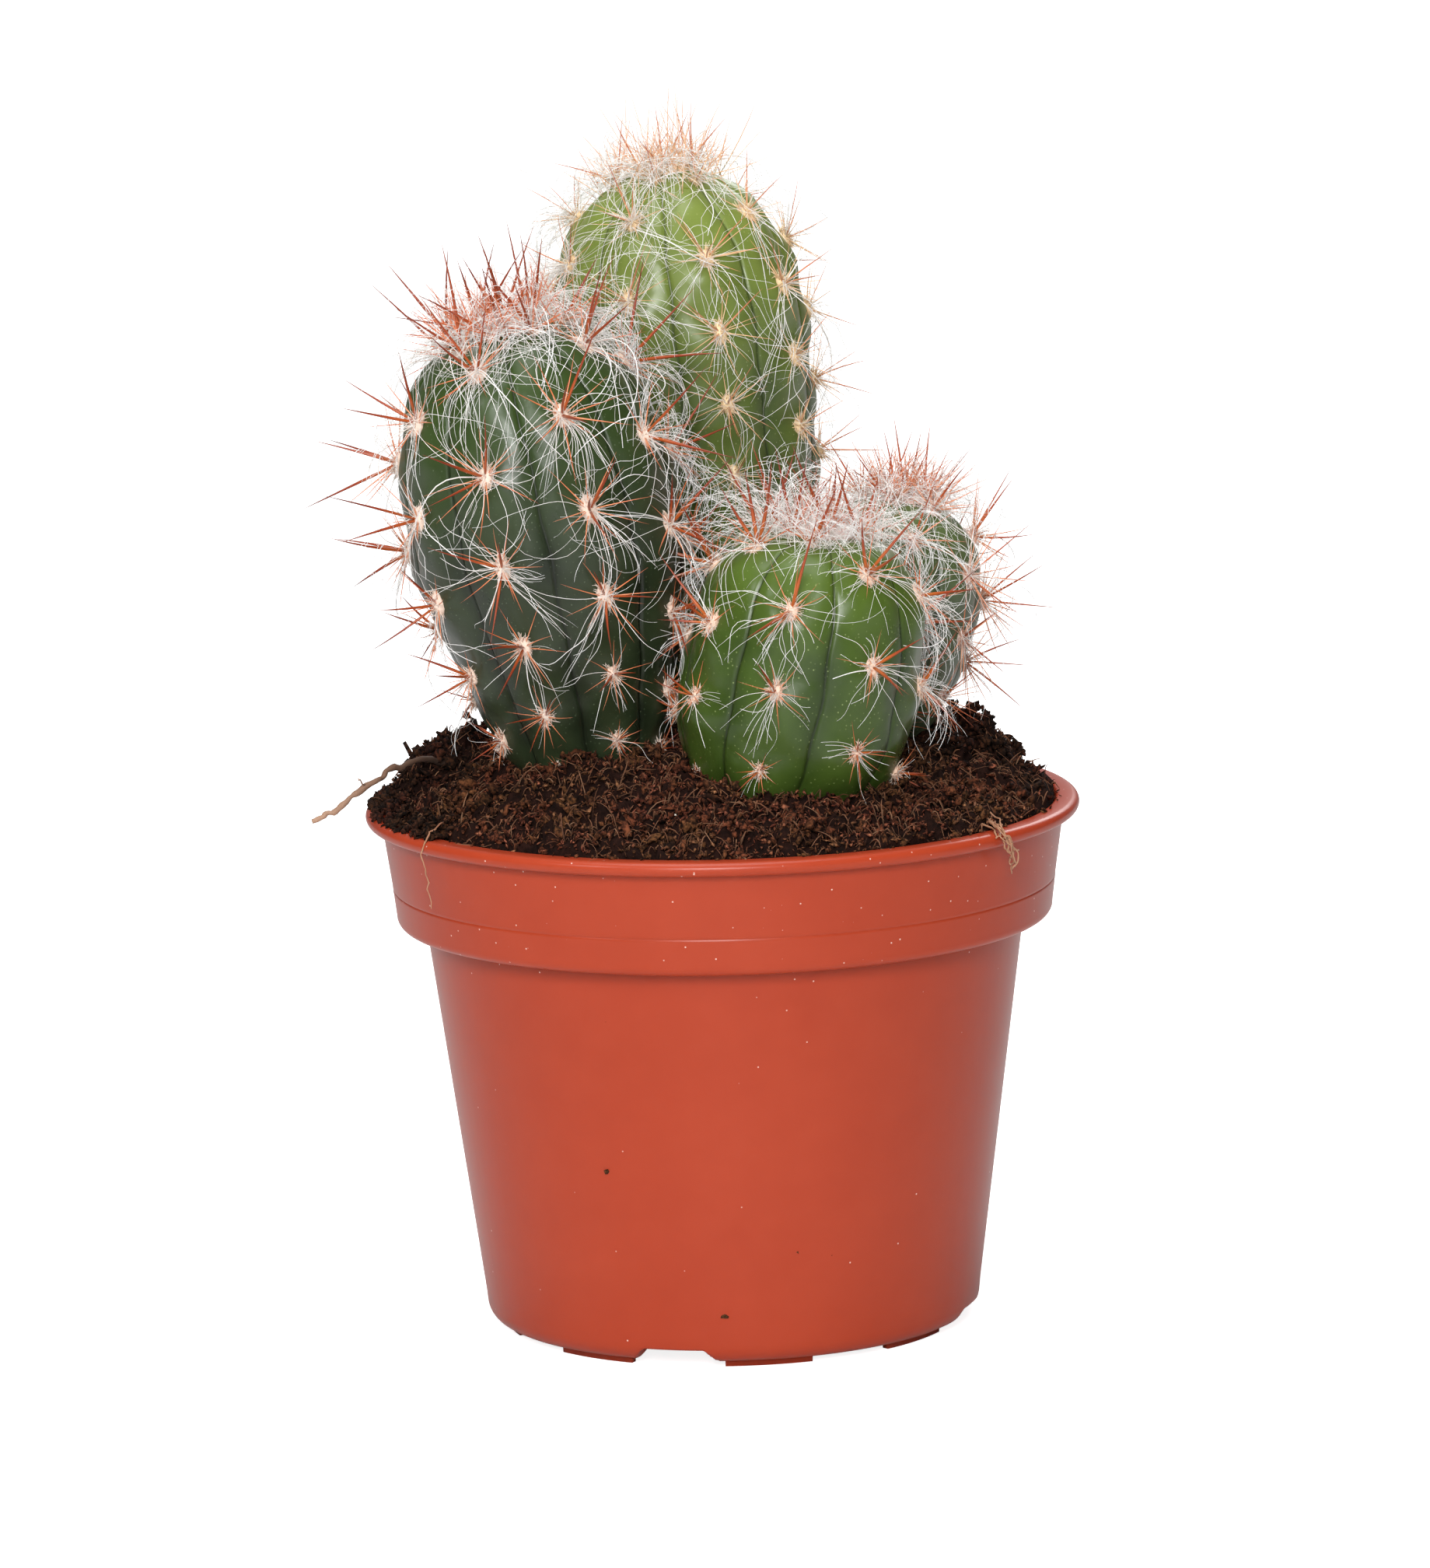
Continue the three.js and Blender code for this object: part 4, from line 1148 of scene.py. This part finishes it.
# ------------------------------------------------------------------ spines
# From each cushion a ring of thin radial spines spreads over the skin and one to four stouter centrals stand
# out from it. They are horny and nearly straight. The youngest crowd together on the top of the stem.
def lean_from(places, around, raised):
    """Directions that lean from outwards towards an angle measured from up the rib: around is that angle and
    raised the angle above the skin."""
    flat = np.stack([np.sin(around), np.cos(around)], -1) * np.cos(raised)[..., None]
    return in_frame(places, np.concatenate([flat, np.sin(raised)[..., None]], -1)[:, None])[:, 0]


def spine_paths(start, direction, length, bend, steps=5):
    """Slightly bowed paths: the start plus the direction times the run, plus a sideways bend that grows with
    the square of the run."""
    run = np.linspace(0, 1, steps)[:, None]
    path = start[:, None] + direction[:, None] * length[:, None, None] * run
    return path + bend[:, None] * length[:, None, None] * run**2


# Centrals are fewer on areoles above this share of the height, and radials stand up more from YOUNG_FROM on.
FEWER_ABOVE = 0.965
YOUNG_FROM = 0.95


def spine_set(places, counts, lengths, thickness, raised, spread, rng):
    """Spines of one kind on every areole: how many, their lengths from foot to top of the stem, and how far
    they are raised. Radials are spread over a whole turn, and stand up more on the youngest areoles. Centrals
    are spread over a part of the turn round the upward direction, and are fewer there."""
    radial = spread == 1
    number = rng.uniform(counts[0], counts[1] + 0.49, len(places["share"]))
    number = np.round(number * np.where((places["share"] > FEWER_ABOVE) & (not radial), 0.6, 1)).astype(int)
    many = repeat_places(places, number)
    within = np.arange(number.sum()) - np.repeat(np.cumsum(number) - number, number)
    share = np.clip(many["share"], 0, 1)
    young = np.clip((share - YOUNG_FROM) / 0.03, 0, 1)
    around = (within + rng.uniform(-0.3, 0.3, len(share))) / np.repeat(number, number)
    around = (around - (0.0 if radial else 0.5)) * 2 * np.pi * spread + rng.normal(0, 0.12, len(share))
    lift = np.radians(rng.uniform(*raised, len(share)) + 22 * young * radial)
    direction = lean_from(many, around, lift)
    length = np.interp(share, [0, 0.35, 0.8, 1], lengths) * rng.uniform(0.7, 1.15, len(share))
    start = many["centre"] + many["out"] * 0.3 + 0.6 * direction
    bend = rng.normal(0, 0.05, direction.shape)
    paths = spine_paths(start, direction, length, bend)
    width = thickness * np.clip(length / 10, 0.6, 1.2) * rng.uniform(0.85, 1.15, len(share))
    return tube_along(paths, width[:, None] * [0.9, 1.0, 0.75, 0.45, 0.07], 5, draw_tints(rng, len(share)))


def crown_places(stem, first, count, rng):
    """Places spread at random over the top of a stem, as areoles are given. They reach further down on the
    side that the stem's crown faces."""
    turn = rng.uniform(0, 2 * np.pi, count)
    facing, further = stem["crown_faces"]
    first = first - further * (0.5 + 0.5 * np.cos(turn - np.radians(facing))) ** 2
    share = 1 - (1 - first) * rng.uniform(0.03, 1, count) ** 1.3
    return skin_places(stem, share, turn, 0.99)


def crown_spines(stem, first, count, lengths, thickness, rng):
    """Young spines that stand up from the top in a tuft: their direction is the stem's own, leaned outwards
    and at random."""
    places = crown_places(stem, first, count, rng)
    middle, along = stem_line(stem, places["share"])[:2]
    outwards = unit(places["centre"] - middle, 1e-9)
    reach = stem_reach(stem, places["share"]) / stem["radius"]
    direction = unit(along + outwards * (reach[:, None] * 1.2) + rng.normal(0, 0.42, along.shape))
    length = rng.uniform(*lengths, count)
    paths = spine_paths(places["centre"], direction, length, rng.normal(0, 0.05, along.shape))
    width = thickness * rng.uniform(0.7, 1.2, (count, 1))
    return tube_along(paths, width * [1.0, 0.88, 0.7, 0.45, 0.07], 5, draw_tints(rng, count))


# For each stem: how its radials and centrals differ, as spine_set takes them, its tuft as crown_spines takes
# it, and the four colours of its thin and of its stout spines.
SPINES = {
    "tall_stem": dict(
        radials=((10, 13), (4, 7, 9, 8), 0.1, (8, 38), 1.0),
        centrals=((2, 3), (6, 9, 12, 10), 0.13, (36, 80), 0.8), tuft=(0.962, 84, (6, 17), 0.1),
        thin=("#f8e2b8", "#f4c698", "#de8458", "#f8b48c"), stout=("#ecb284", "#c8714e", "#9a4028", "#e0a078"),
    ),
    "left_stem": dict(
        radials=((9, 12), (3.5, 8.5, 11, 10), 0.12, (8, 38), 1.0),
        centrals=((2, 3), (4, 12, 18, 15), 0.23, (34, 80), 0.8), tuft=(0.982, 90, (6, 13), 0.12),
        thin=("#f4aa7c", "#de7038", "#a44624", "#f6ae88"), stout=("#cc6a2c", "#8e3214", "#4a180c", "#ac481a"),
    ),
    "front_stem": dict(
        radials=((7, 9), (3, 6.2, 8.5, 9), 0.12, (8, 38), 1.0),
        centrals=((1, 3), (3, 8, 14, 14), 0.27, (36, 80), 0.8), tuft=(0.985, 22, (6, 12), 0.1),
        thin=("#f09650", "#cc6434", "#8e3622", "#e89870"), stout=("#d87830", "#96391a", "#4e1a10", "#b0501f"),
    ),
    "rear_stem": dict(
        radials=((12, 15), (6, 9, 11, 10), 0.115, (8, 42), 1.0),
        centrals=((2, 3), (8, 12, 15, 12), 0.17, (36, 80), 0.8), tuft=(0.97, 26, (4, 9), 0.1),
        thin=("#f2b088", "#de8456", "#b04e34", "#f6c8ac"), stout=("#dc7c42", "#a84424", "#6c2214", "#c86838"),
    ),
}
for order, (name, kind) in enumerate(SPINES.items()):
    rng = np.random.default_rng(200 + order)
    radials = spine_set(areoles[name], *kind["radials"], rng)
    centrals = spine_set(areoles[name], *kind["centrals"], rng)
    tuft = crown_spines(STEMS[name], *kind["tuft"], rng)
    sorts = (("thin", "radial_spines", join_shapes([radials, tuft])), ("stout", "central_spines", centrals))
    for sort, ending, shape in sorts:
        horn = strand_finish(name.replace("stem", sort + "_horn"), *kind[sort], 0.55, Roughness=0.35)
        spines = new_mapped_object(name.replace("stem", ending), shape, horn)
        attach(spines, "root")


# ------------------------------------------------------------------ white hair
# Long white hairs grow from the cushions too. They curl, droop and lie on the skin, cross from stem to stem,
# and some stick together in strands. They are thickest at the tops and thin out on the tall stem.
def push_off_stems(points):
    """How far each point stands off the nearest stem's skin, and the direction away from that stem. Below the
    belly the distance is that to a cone, above it that to a superellipse about the belly."""
    nearest = np.full(len(points), 1e9)
    away = np.zeros_like(points)
    for stem in STEMS.values():
        foot, tip = np.array(stem["foot"]), np.array(stem["tip"])
        chord = tip - foot
        height = np.linalg.norm(chord)
        share = np.clip((points - foot) @ chord / height**2, -0.1, 1.3)
        middle, along = stem_line(stem, np.clip(share, 0, 1))[:2]
        middle = middle + along * ((share - np.clip(share, 0, 1)) * height)[:, None]
        across = points - middle
        across -= along * (across * along).sum(-1, keepdims=True)
        reach = np.linalg.norm(across, axis=-1)
        across /= reach[:, None] + 1e-9
        cone = reach - stem_reach(stem, np.clip(share, 0, stem["belly"]))
        wide, tall = reach / stem["radius"], np.clip((share - stem["belly"]) / (1 - stem["belly"]), 0, 2)
        ball = (wide ** stem["dome"] + tall ** stem["dome"]) ** (1 / stem["dome"])
        span = np.hypot(reach, tall * (1 - stem["belly"]) * height)
        dome = span * (1 - 1 / np.maximum(ball, 0.05))
        off = np.where(share > stem["belly"], dome, cone)
        slope_up = tall ** (stem["dome"] - 1) / ((1 - stem["belly"]) * height)
        slope_out = wide ** (stem["dome"] - 1) / stem["radius"]
        lift = np.where(share > stem["belly"], slope_up / np.hypot(slope_up, slope_out + 1e-9), 0)
        direction = across * np.sqrt(1 - lift**2)[:, None] + along * lift[:, None]
        closer = off < nearest
        nearest = np.where(closer, off, nearest)
        away = np.where(closer[:, None], direction, away)
    return nearest, away


HAIR_STEPS = 15
SKIN_CLEARANCE = 0.35
PEAT_CLEARANCE = 0.8
WITHIN_POT = 58


def lay_hairs(start, heading, length, curls, droop, cling):
    """Paths of hairs. At every step the heading is turned about the skin's outward direction by a slow wave
    of the hair's own, which lays it in arcs and loops, and about another axis by a quicker one. Its weight
    and the nearest skin pull it too, and then the point is pushed out of every stem and off the peat."""
    axes, speeds, phases, strengths = curls
    hop = (length / (HAIR_STEPS - 1))[:, None]
    point = start
    path = [start]
    off, away = push_off_stems(point)
    for step in range(1, HAIR_STEPS):
        turning = np.sin(speeds * hop * step + phases) * strengths * hop
        arc = np.cross(away + 0.5 * axes[:, 0], heading) * turning[:, :1]
        wiggle = np.cross(axes[:, 1], heading) * turning[:, 1:]
        heading = heading + arc + wiggle
        heading[:, 2:] -= droop[:, None] * hop
        heading = unit(heading - away * (cling * hop * np.clip((off - 1.2) / 4, 0, 1)[:, None]))
        point = point + heading * hop
        off, away = push_off_stems(point)
        point = point + away * np.clip(SKIN_CLEARANCE - off, 0, 3)[:, None]
        lowest = peat_height(point[:, 0], point[:, 1]) + PEAT_CLEARANCE
        within = np.hypot(point[:, 0], point[:, 1]) < WITHIN_POT
        point[:, 2] = np.where(within, np.maximum(point[:, 2], lowest), point[:, 2])
        path.append(point)
    return np.stack(path, 1)


def draw_curls(count, together, likeness, arcs, rng):
    """The waves of hairs: hairs that grow together share most of theirs, so that they keep together."""
    def mixed(draw):
        shared = np.repeat(draw(-(-count // together)), together, axis=0)[:count]
        return likeness * shared + (1 - likeness) * draw(count)

    axes = unit(mixed(lambda n: rng.normal(0, 1, (n, 2, 3))))
    speeds = mixed(lambda n: rng.uniform([0.02, 0.3], [0.16, 1.1], (n, 2)))
    phases = mixed(lambda n: rng.uniform(0, 2 * np.pi, (n, 2)))
    strengths = mixed(lambda n: rng.lognormal(np.log(arcs), [0.6, 0.45], (n, 2)))
    return axes, speeds, phases, strengths


def hair_tubes(paths, width, rng):
    """Three-sided tubes that thin towards their tips."""
    radii = width * np.linspace(1, 0.5, HAIR_STEPS) * rng.uniform(0.6, 1.5, (len(paths), 1))
    return tube_along(paths, radii, 3, draw_tints(rng, len(paths)))


CLING = 0.14
CROWN_CLING = 0.1
ROOT_HEIGHT = 0.3


def areole_hairs(name, number, together, lengths, arcs, droop, likeness, width, rng):
    """Hairs of every areole of a stem. They set out in groups, mostly downwards and sideways, and are fewer
    and shorter near the foot."""
    share = areoles[name]["share"]
    wanted = number * np.interp(share, [0, 0.15, 0.5, 0.94, 1], [0.1, 0.22, 0.85, 1.25, 0.7])
    side, more = STEMS[name]["shaggy_side"]
    wanted *= 1 + more * np.clip(np.cos(areoles[name]["turn"] - np.radians(side)), 0, 1)
    wanted *= rng.uniform(0.5, 1.4, len(share))
    groups = repeat_places(areoles[name], np.round(wanted).astype(int))
    around = rng.vonmises(np.pi, 0.6, len(groups["share"]))
    raised = rng.uniform(0.1, 1.1, len(around))
    length = rng.uniform(*lengths, len(around)) * np.clip(0.25 + groups["share"], 0, 1)
    many = repeat_places(groups, together)
    count = len(many["share"])
    spread = 0.16 if together > 1 else 0
    around = np.repeat(around, together) + rng.normal(0, spread, count)
    heading = lean_from(many, around, np.repeat(raised, together) + rng.normal(0, spread / 2, count))
    start = many["centre"] + many["out"] * ROOT_HEIGHT + rng.normal(0, 0.35, heading.shape)
    length = np.repeat(length, together) * rng.uniform(0.8, 1.1, count)
    curls = draw_curls(count, together, likeness, arcs, rng)
    paths = lay_hairs(start, heading, length, curls, rng.uniform(*droop, count), CLING)
    return hair_tubes(paths, width, rng)


def crown_hairs(name, first, count, lengths, arcs, droop, width, rng):
    """Hairs of the top, which stand up in all directions before they curl over."""
    places = crown_places(STEMS[name], first, count, rng)
    along = stem_line(STEMS[name], places["share"])[1]
    heading = unit(along * 0.5 + places["out"] * 0.5 + rng.normal(0, 0.75, along.shape))
    curls = draw_curls(count, 4, 0.5, arcs, rng)
    length = rng.uniform(*lengths, count)
    start = places["centre"] + places["out"] * ROOT_HEIGHT
    paths = lay_hairs(start, heading, length, curls, rng.uniform(*droop, count), CROWN_CLING)
    return hair_tubes(paths, width, rng)


HAIR_RADIUS = 0.052
GLUED_RADIUS = 0.1
# How strongly hairs wave, slowly and quickly, and how little and how much they droop.
LOOSE_WAY = ((0.09, 0.2), (0.0, 0.04))
GLUED_WAY = ((0.05, 0.08), (0.02, 0.06))
CROWN_DROOP = (0.01, 0.05)
# For each stem: its loose hairs and its glued strands to an areole, their lengths, and the hairs of its top:
# the share where they start, their number, their lengths and how strongly they wave.
HAIRS = {
    "tall_stem": (15, 0.8, (9, 26), (0.97, 40, (6, 13), (0.14, 0.2))),
    "left_stem": (12, 2.3, (11, 31), (0.965, 160, (9, 24), (0.1, 0.18))),
    "front_stem": (15, 0.9, (7, 20), (0.97, 330, (9, 25), (0.06, 0.13))),
    "rear_stem": (19, 1.0, (9, 23), (0.95, 120, (7, 17), (0.1, 0.18))),
}
SILK_COLOURS = ("#f4ebe2", "#fbf8f5", "#ffffff", "#ece4dc")
for order, (name, (loose, glued, lengths, top)) in enumerate(HAIRS.items()):
    rng = np.random.default_rng(300 + order)
    single = areole_hairs(name, loose, 1, lengths, *LOOSE_WAY, 0, HAIR_RADIUS, rng)
    strands = [
        areole_hairs(name, glued, 5, lengths, *GLUED_WAY, 0.93, HAIR_RADIUS, rng),
        areole_hairs(name, glued, 1, lengths, *GLUED_WAY, 0, GLUED_RADIUS, rng),
        crown_hairs(name, *top, CROWN_DROOP, HAIR_RADIUS, rng),
    ]
    silk_name = name.replace("stem", "silk")
    silk = strand_finish(silk_name, *SILK_COLOURS, 0.4, Roughness=0.4, Sheen_Weight=0.6)
    for ending, shape in (("hair", single), ("top_hair", join_shapes(strands))):
        hairs = new_mapped_object(name.replace("stem", ending), shape, silk)
        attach(hairs, "root")


# ------------------------------------------------------------------ crowns
# The growing top of each stem is closed by a low mound of felt under a dense tuft of curly wool. Both are
# pale, pinkish or tan at their roots, and grow from the youngest areoles, which crowd together there.
WOOL_RADIUS = 0.055
WOOL_CURL = 0.13


def wool_shapes(stem, first, count, lengths, rng, steps=7):
    """Curly wool: short strands that leave the top outwards and wind at random."""
    places = crown_places(stem, first, count, rng)
    along = stem_line(stem, places["share"])[1]
    heading = unit(along * 0.35 + places["out"] * 0.65 + rng.normal(0, 0.5, along.shape))
    length = rng.uniform(*lengths, count)
    run = np.linspace(0, 1, steps)[:, None]
    wind = sum(
        rng.normal(0, 1, (count, 1, 3)) * np.sin(rng.uniform(2, 8, (count, 1, 1)) * run) for _ in range(3)
    )
    paths = places["centre"][:, None] + length[:, None, None] * (run * heading[:, None] + WOOL_CURL * wind)
    radii = WOOL_RADIUS * np.linspace(1, 0.5, steps) * rng.uniform(0.8, 1.2, (count, 1))
    return tube_along(paths, radii, 3, draw_tints(rng, count))


CAP_THICKNESS = 1.0
PLUG_DEPTH = 0.06


def felt_cap(stem, first, seed, rows=14, sides=90):
    """A closed mound on the top of a stem: the skin raised by a thickness that varies with smooth noise, thin
    at its edge, over a plug inside the stem."""
    share = 1 - (1 - first) * np.linspace(1, 0.02, rows)[:, None] ** 1.5
    turn = full_turn(sides)
    base = skin_point(stem, share, turn)
    middle, along = stem_line(stem, np.full(share.shape, first - PLUG_DEPTH))[:2]
    height = CAP_THICKNESS * np.sin(np.linspace(-0.25, np.pi / 2, rows))[:, None]
    lumps = 0.45 + 1.1 * value_noise(base, 1.6, seed) ** 1.5
    points = base + unit(base - middle) * (height * lumps)[..., None]
    plug = stem_line(stem, np.array([first - PLUG_DEPTH]))[0]
    summit = stem_line(stem, np.array([1.0]))[0] + along[0] * CAP_THICKNESS
    faces = ringed_faces(rows, sides)
    all_points = np.concatenate([plug, points.reshape(-1, 3), summit])
    up = 0.1 + 0.5 * (height / CAP_THICKNESS + 0.25) * lumps
    ring_maps = np.stack(np.broadcast_arrays(turn / 6.5, up), -1).reshape(-1, 2)
    maps = np.concatenate([[[0, 0]], ring_maps, [[0.5, 0.6]]])
    return all_points, faces, [maps[part] for part in faces]


# For each stem: the share where its crown starts, its strands of wool and their lengths, and four colours.
CROWNS = {
    "tall_stem": (0.994, 170, (1.5, 4), "#f6c090", "#ffe6c4", "#fffaf0", "#ffd0a4"),
    "left_stem": (0.994, 230, (1.5, 5), "#f4c4b6", "#fff0ea", "#ffffff", "#fcccc0"),
    "front_stem": (0.996, 300, (1.5, 6), "#f0c8be", "#fdf0ec", "#fffaf9", "#fad6ce"),
    "rear_stem": (0.985, 220, (1.5, 5), "#e8beb0", "#fae6de", "#fdf6f2", "#f4cac0"),
}
for order, (name, (first, count, lengths, *colours)) in enumerate(CROWNS.items()):
    rng = np.random.default_rng(400 + order)
    cap = felt_cap(STEMS[name], first, 31 + order)
    shape = join_shapes([cap, wool_shapes(STEMS[name], first, count, lengths, rng)])
    wool = strand_finish(name.replace("stem", "wool"), *colours, 0.5, Roughness=0.8)
    crown = new_mapped_object(name.replace("stem", "crown_wool"), shape, wool)
    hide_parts(name.replace("stem", "crown"))
    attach(crown, "root")


# ------------------------------------------------------------------ twig and roots
# Loose bits that hang over the lip: a crooked tan twig at the left, a pale tangle of root at the right, and
# one thin root at the left. They lie in the peat and are free at their outer ends.
def smooth_route(points, steps):
    """A smooth path through points: a Catmull-Rom curve, whose slope at each point is half the way between
    its two neighbours."""
    points = np.array(points, float)
    padded = np.concatenate([2 * points[:1] - points[1:2], points, 2 * points[-1:] - points[-2:-1]])
    place = np.linspace(0, len(points) - 1, steps)
    cell = np.minimum(place.astype(int), len(points) - 2)
    part = (place - cell)[:, None]
    a, b, c, d = (padded[cell + shift] for shift in range(4))
    cubic = (3 * b - 3 * c + d - a) * part**3
    return 0.5 * (2 * b + (c - a) * part + (2 * a - 5 * b + 4 * c - d) * part**2 + cubic)


def knobbly_tube(route, steps, thick, thin, sides, seed):
    """A tube along a smooth route that wanders a little, with knots: its radius shrinks from thick to thin
    and swells with smooth noise."""
    path = smooth_route(route, steps)
    share = np.linspace(0, 1, steps)
    lattice = np.stack([share * 40, 0 * share, 0 * share], -1)
    wander = np.stack([value_noise(lattice, 2.2, seed + shift) - 0.5 for shift in range(3)], -1)
    radius = (thick + (thin - thick) * share) * (0.75 + 0.6 * value_noise(lattice, 1.1, seed + 4))
    return tube_along((path + 0.7 * wander)[None], radius[None], sides, np.array([0.02]))


twig_route = [
    (-45.0, 0, 96.0), (-49.0, -5, 97.4), (-52.5, -9.5, 97.6), (-54.6, -12.5, 97.2), (-56.6, -14, 96.3),
    (-59.2, -16, 95.0), (-61.8, -17.5, 93.7), (-63.4, -18, 91.9), (-65.8, -18.2, 90.8), (-68.4, -18, 90.0),
]
bark = strand_finish("twig_bark", "#2b1c14", "#7a5a46", "#b8937a", "#5a4033", 0.3, Roughness=0.8)
side_shoot = [(-59.2, -16, 95.0), (-60, -16.4, 95.8), (-60.6, -16.4, 96.6)]
twig_tubes = [knobbly_tube(twig_route, 60, 0.52, 0.44, 8, 51), knobbly_tube(side_shoot, 8, 0.2, 0.1, 6, 57)]
dry_twig = new_mapped_object("dry_twig", join_shapes(twig_tubes), bark)
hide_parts("twig")
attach(dry_twig, "root")

root_route = np.array([
    (41.5, -20, 92.4), (42.5, -26, 91.2), (43.5, -32, 90.2), (44.6, -37, 89.8), (46, -39.7, 88.9),
    (46.6, -40, 87.2), (47.3, -38, 85), (47.9, -36, 82.8),
])
root_rng = np.random.default_rng(500)
tangle = []
for strand in range(7):
    shifted = root_route + root_rng.normal(0, 0.55, root_route.shape) * (strand > 0)
    first = 0 if strand < 3 else int(root_rng.integers(0, 4))
    last = len(shifted) if strand < 2 else int(root_rng.integers(first + 4, len(shifted) + 1))
    thick = 0.3 if strand == 0 else 0.16
    tangle.append(knobbly_tube(shifted[first:last], 40, thick, 0.12, 6, 60 + 5 * strand))
left_root = [
    (-46, -31, 91.5), (-47.6, -32.4, 90.1), (-48.8, -33.6, 89.3), (-49.6, -34.4, 87.5), (-49.3, -34.2, 84),
    (-48.8, -33.5, 80.5), (-48.4, -33.3, 77.5),
]
tangle.append(knobbly_tube(left_root, 36, 0.16, 0.08, 6, 99))
pale_root = strand_finish("root_fibre", "#8a5a40", "#b98a68", "#c79a7a", "#7a4a34", 0.5, Roughness=0.75)
loose_roots = new_mapped_object("loose_roots", join_shapes(tangle), pale_root)
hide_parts("rim_root")
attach(loose_roots, "root")
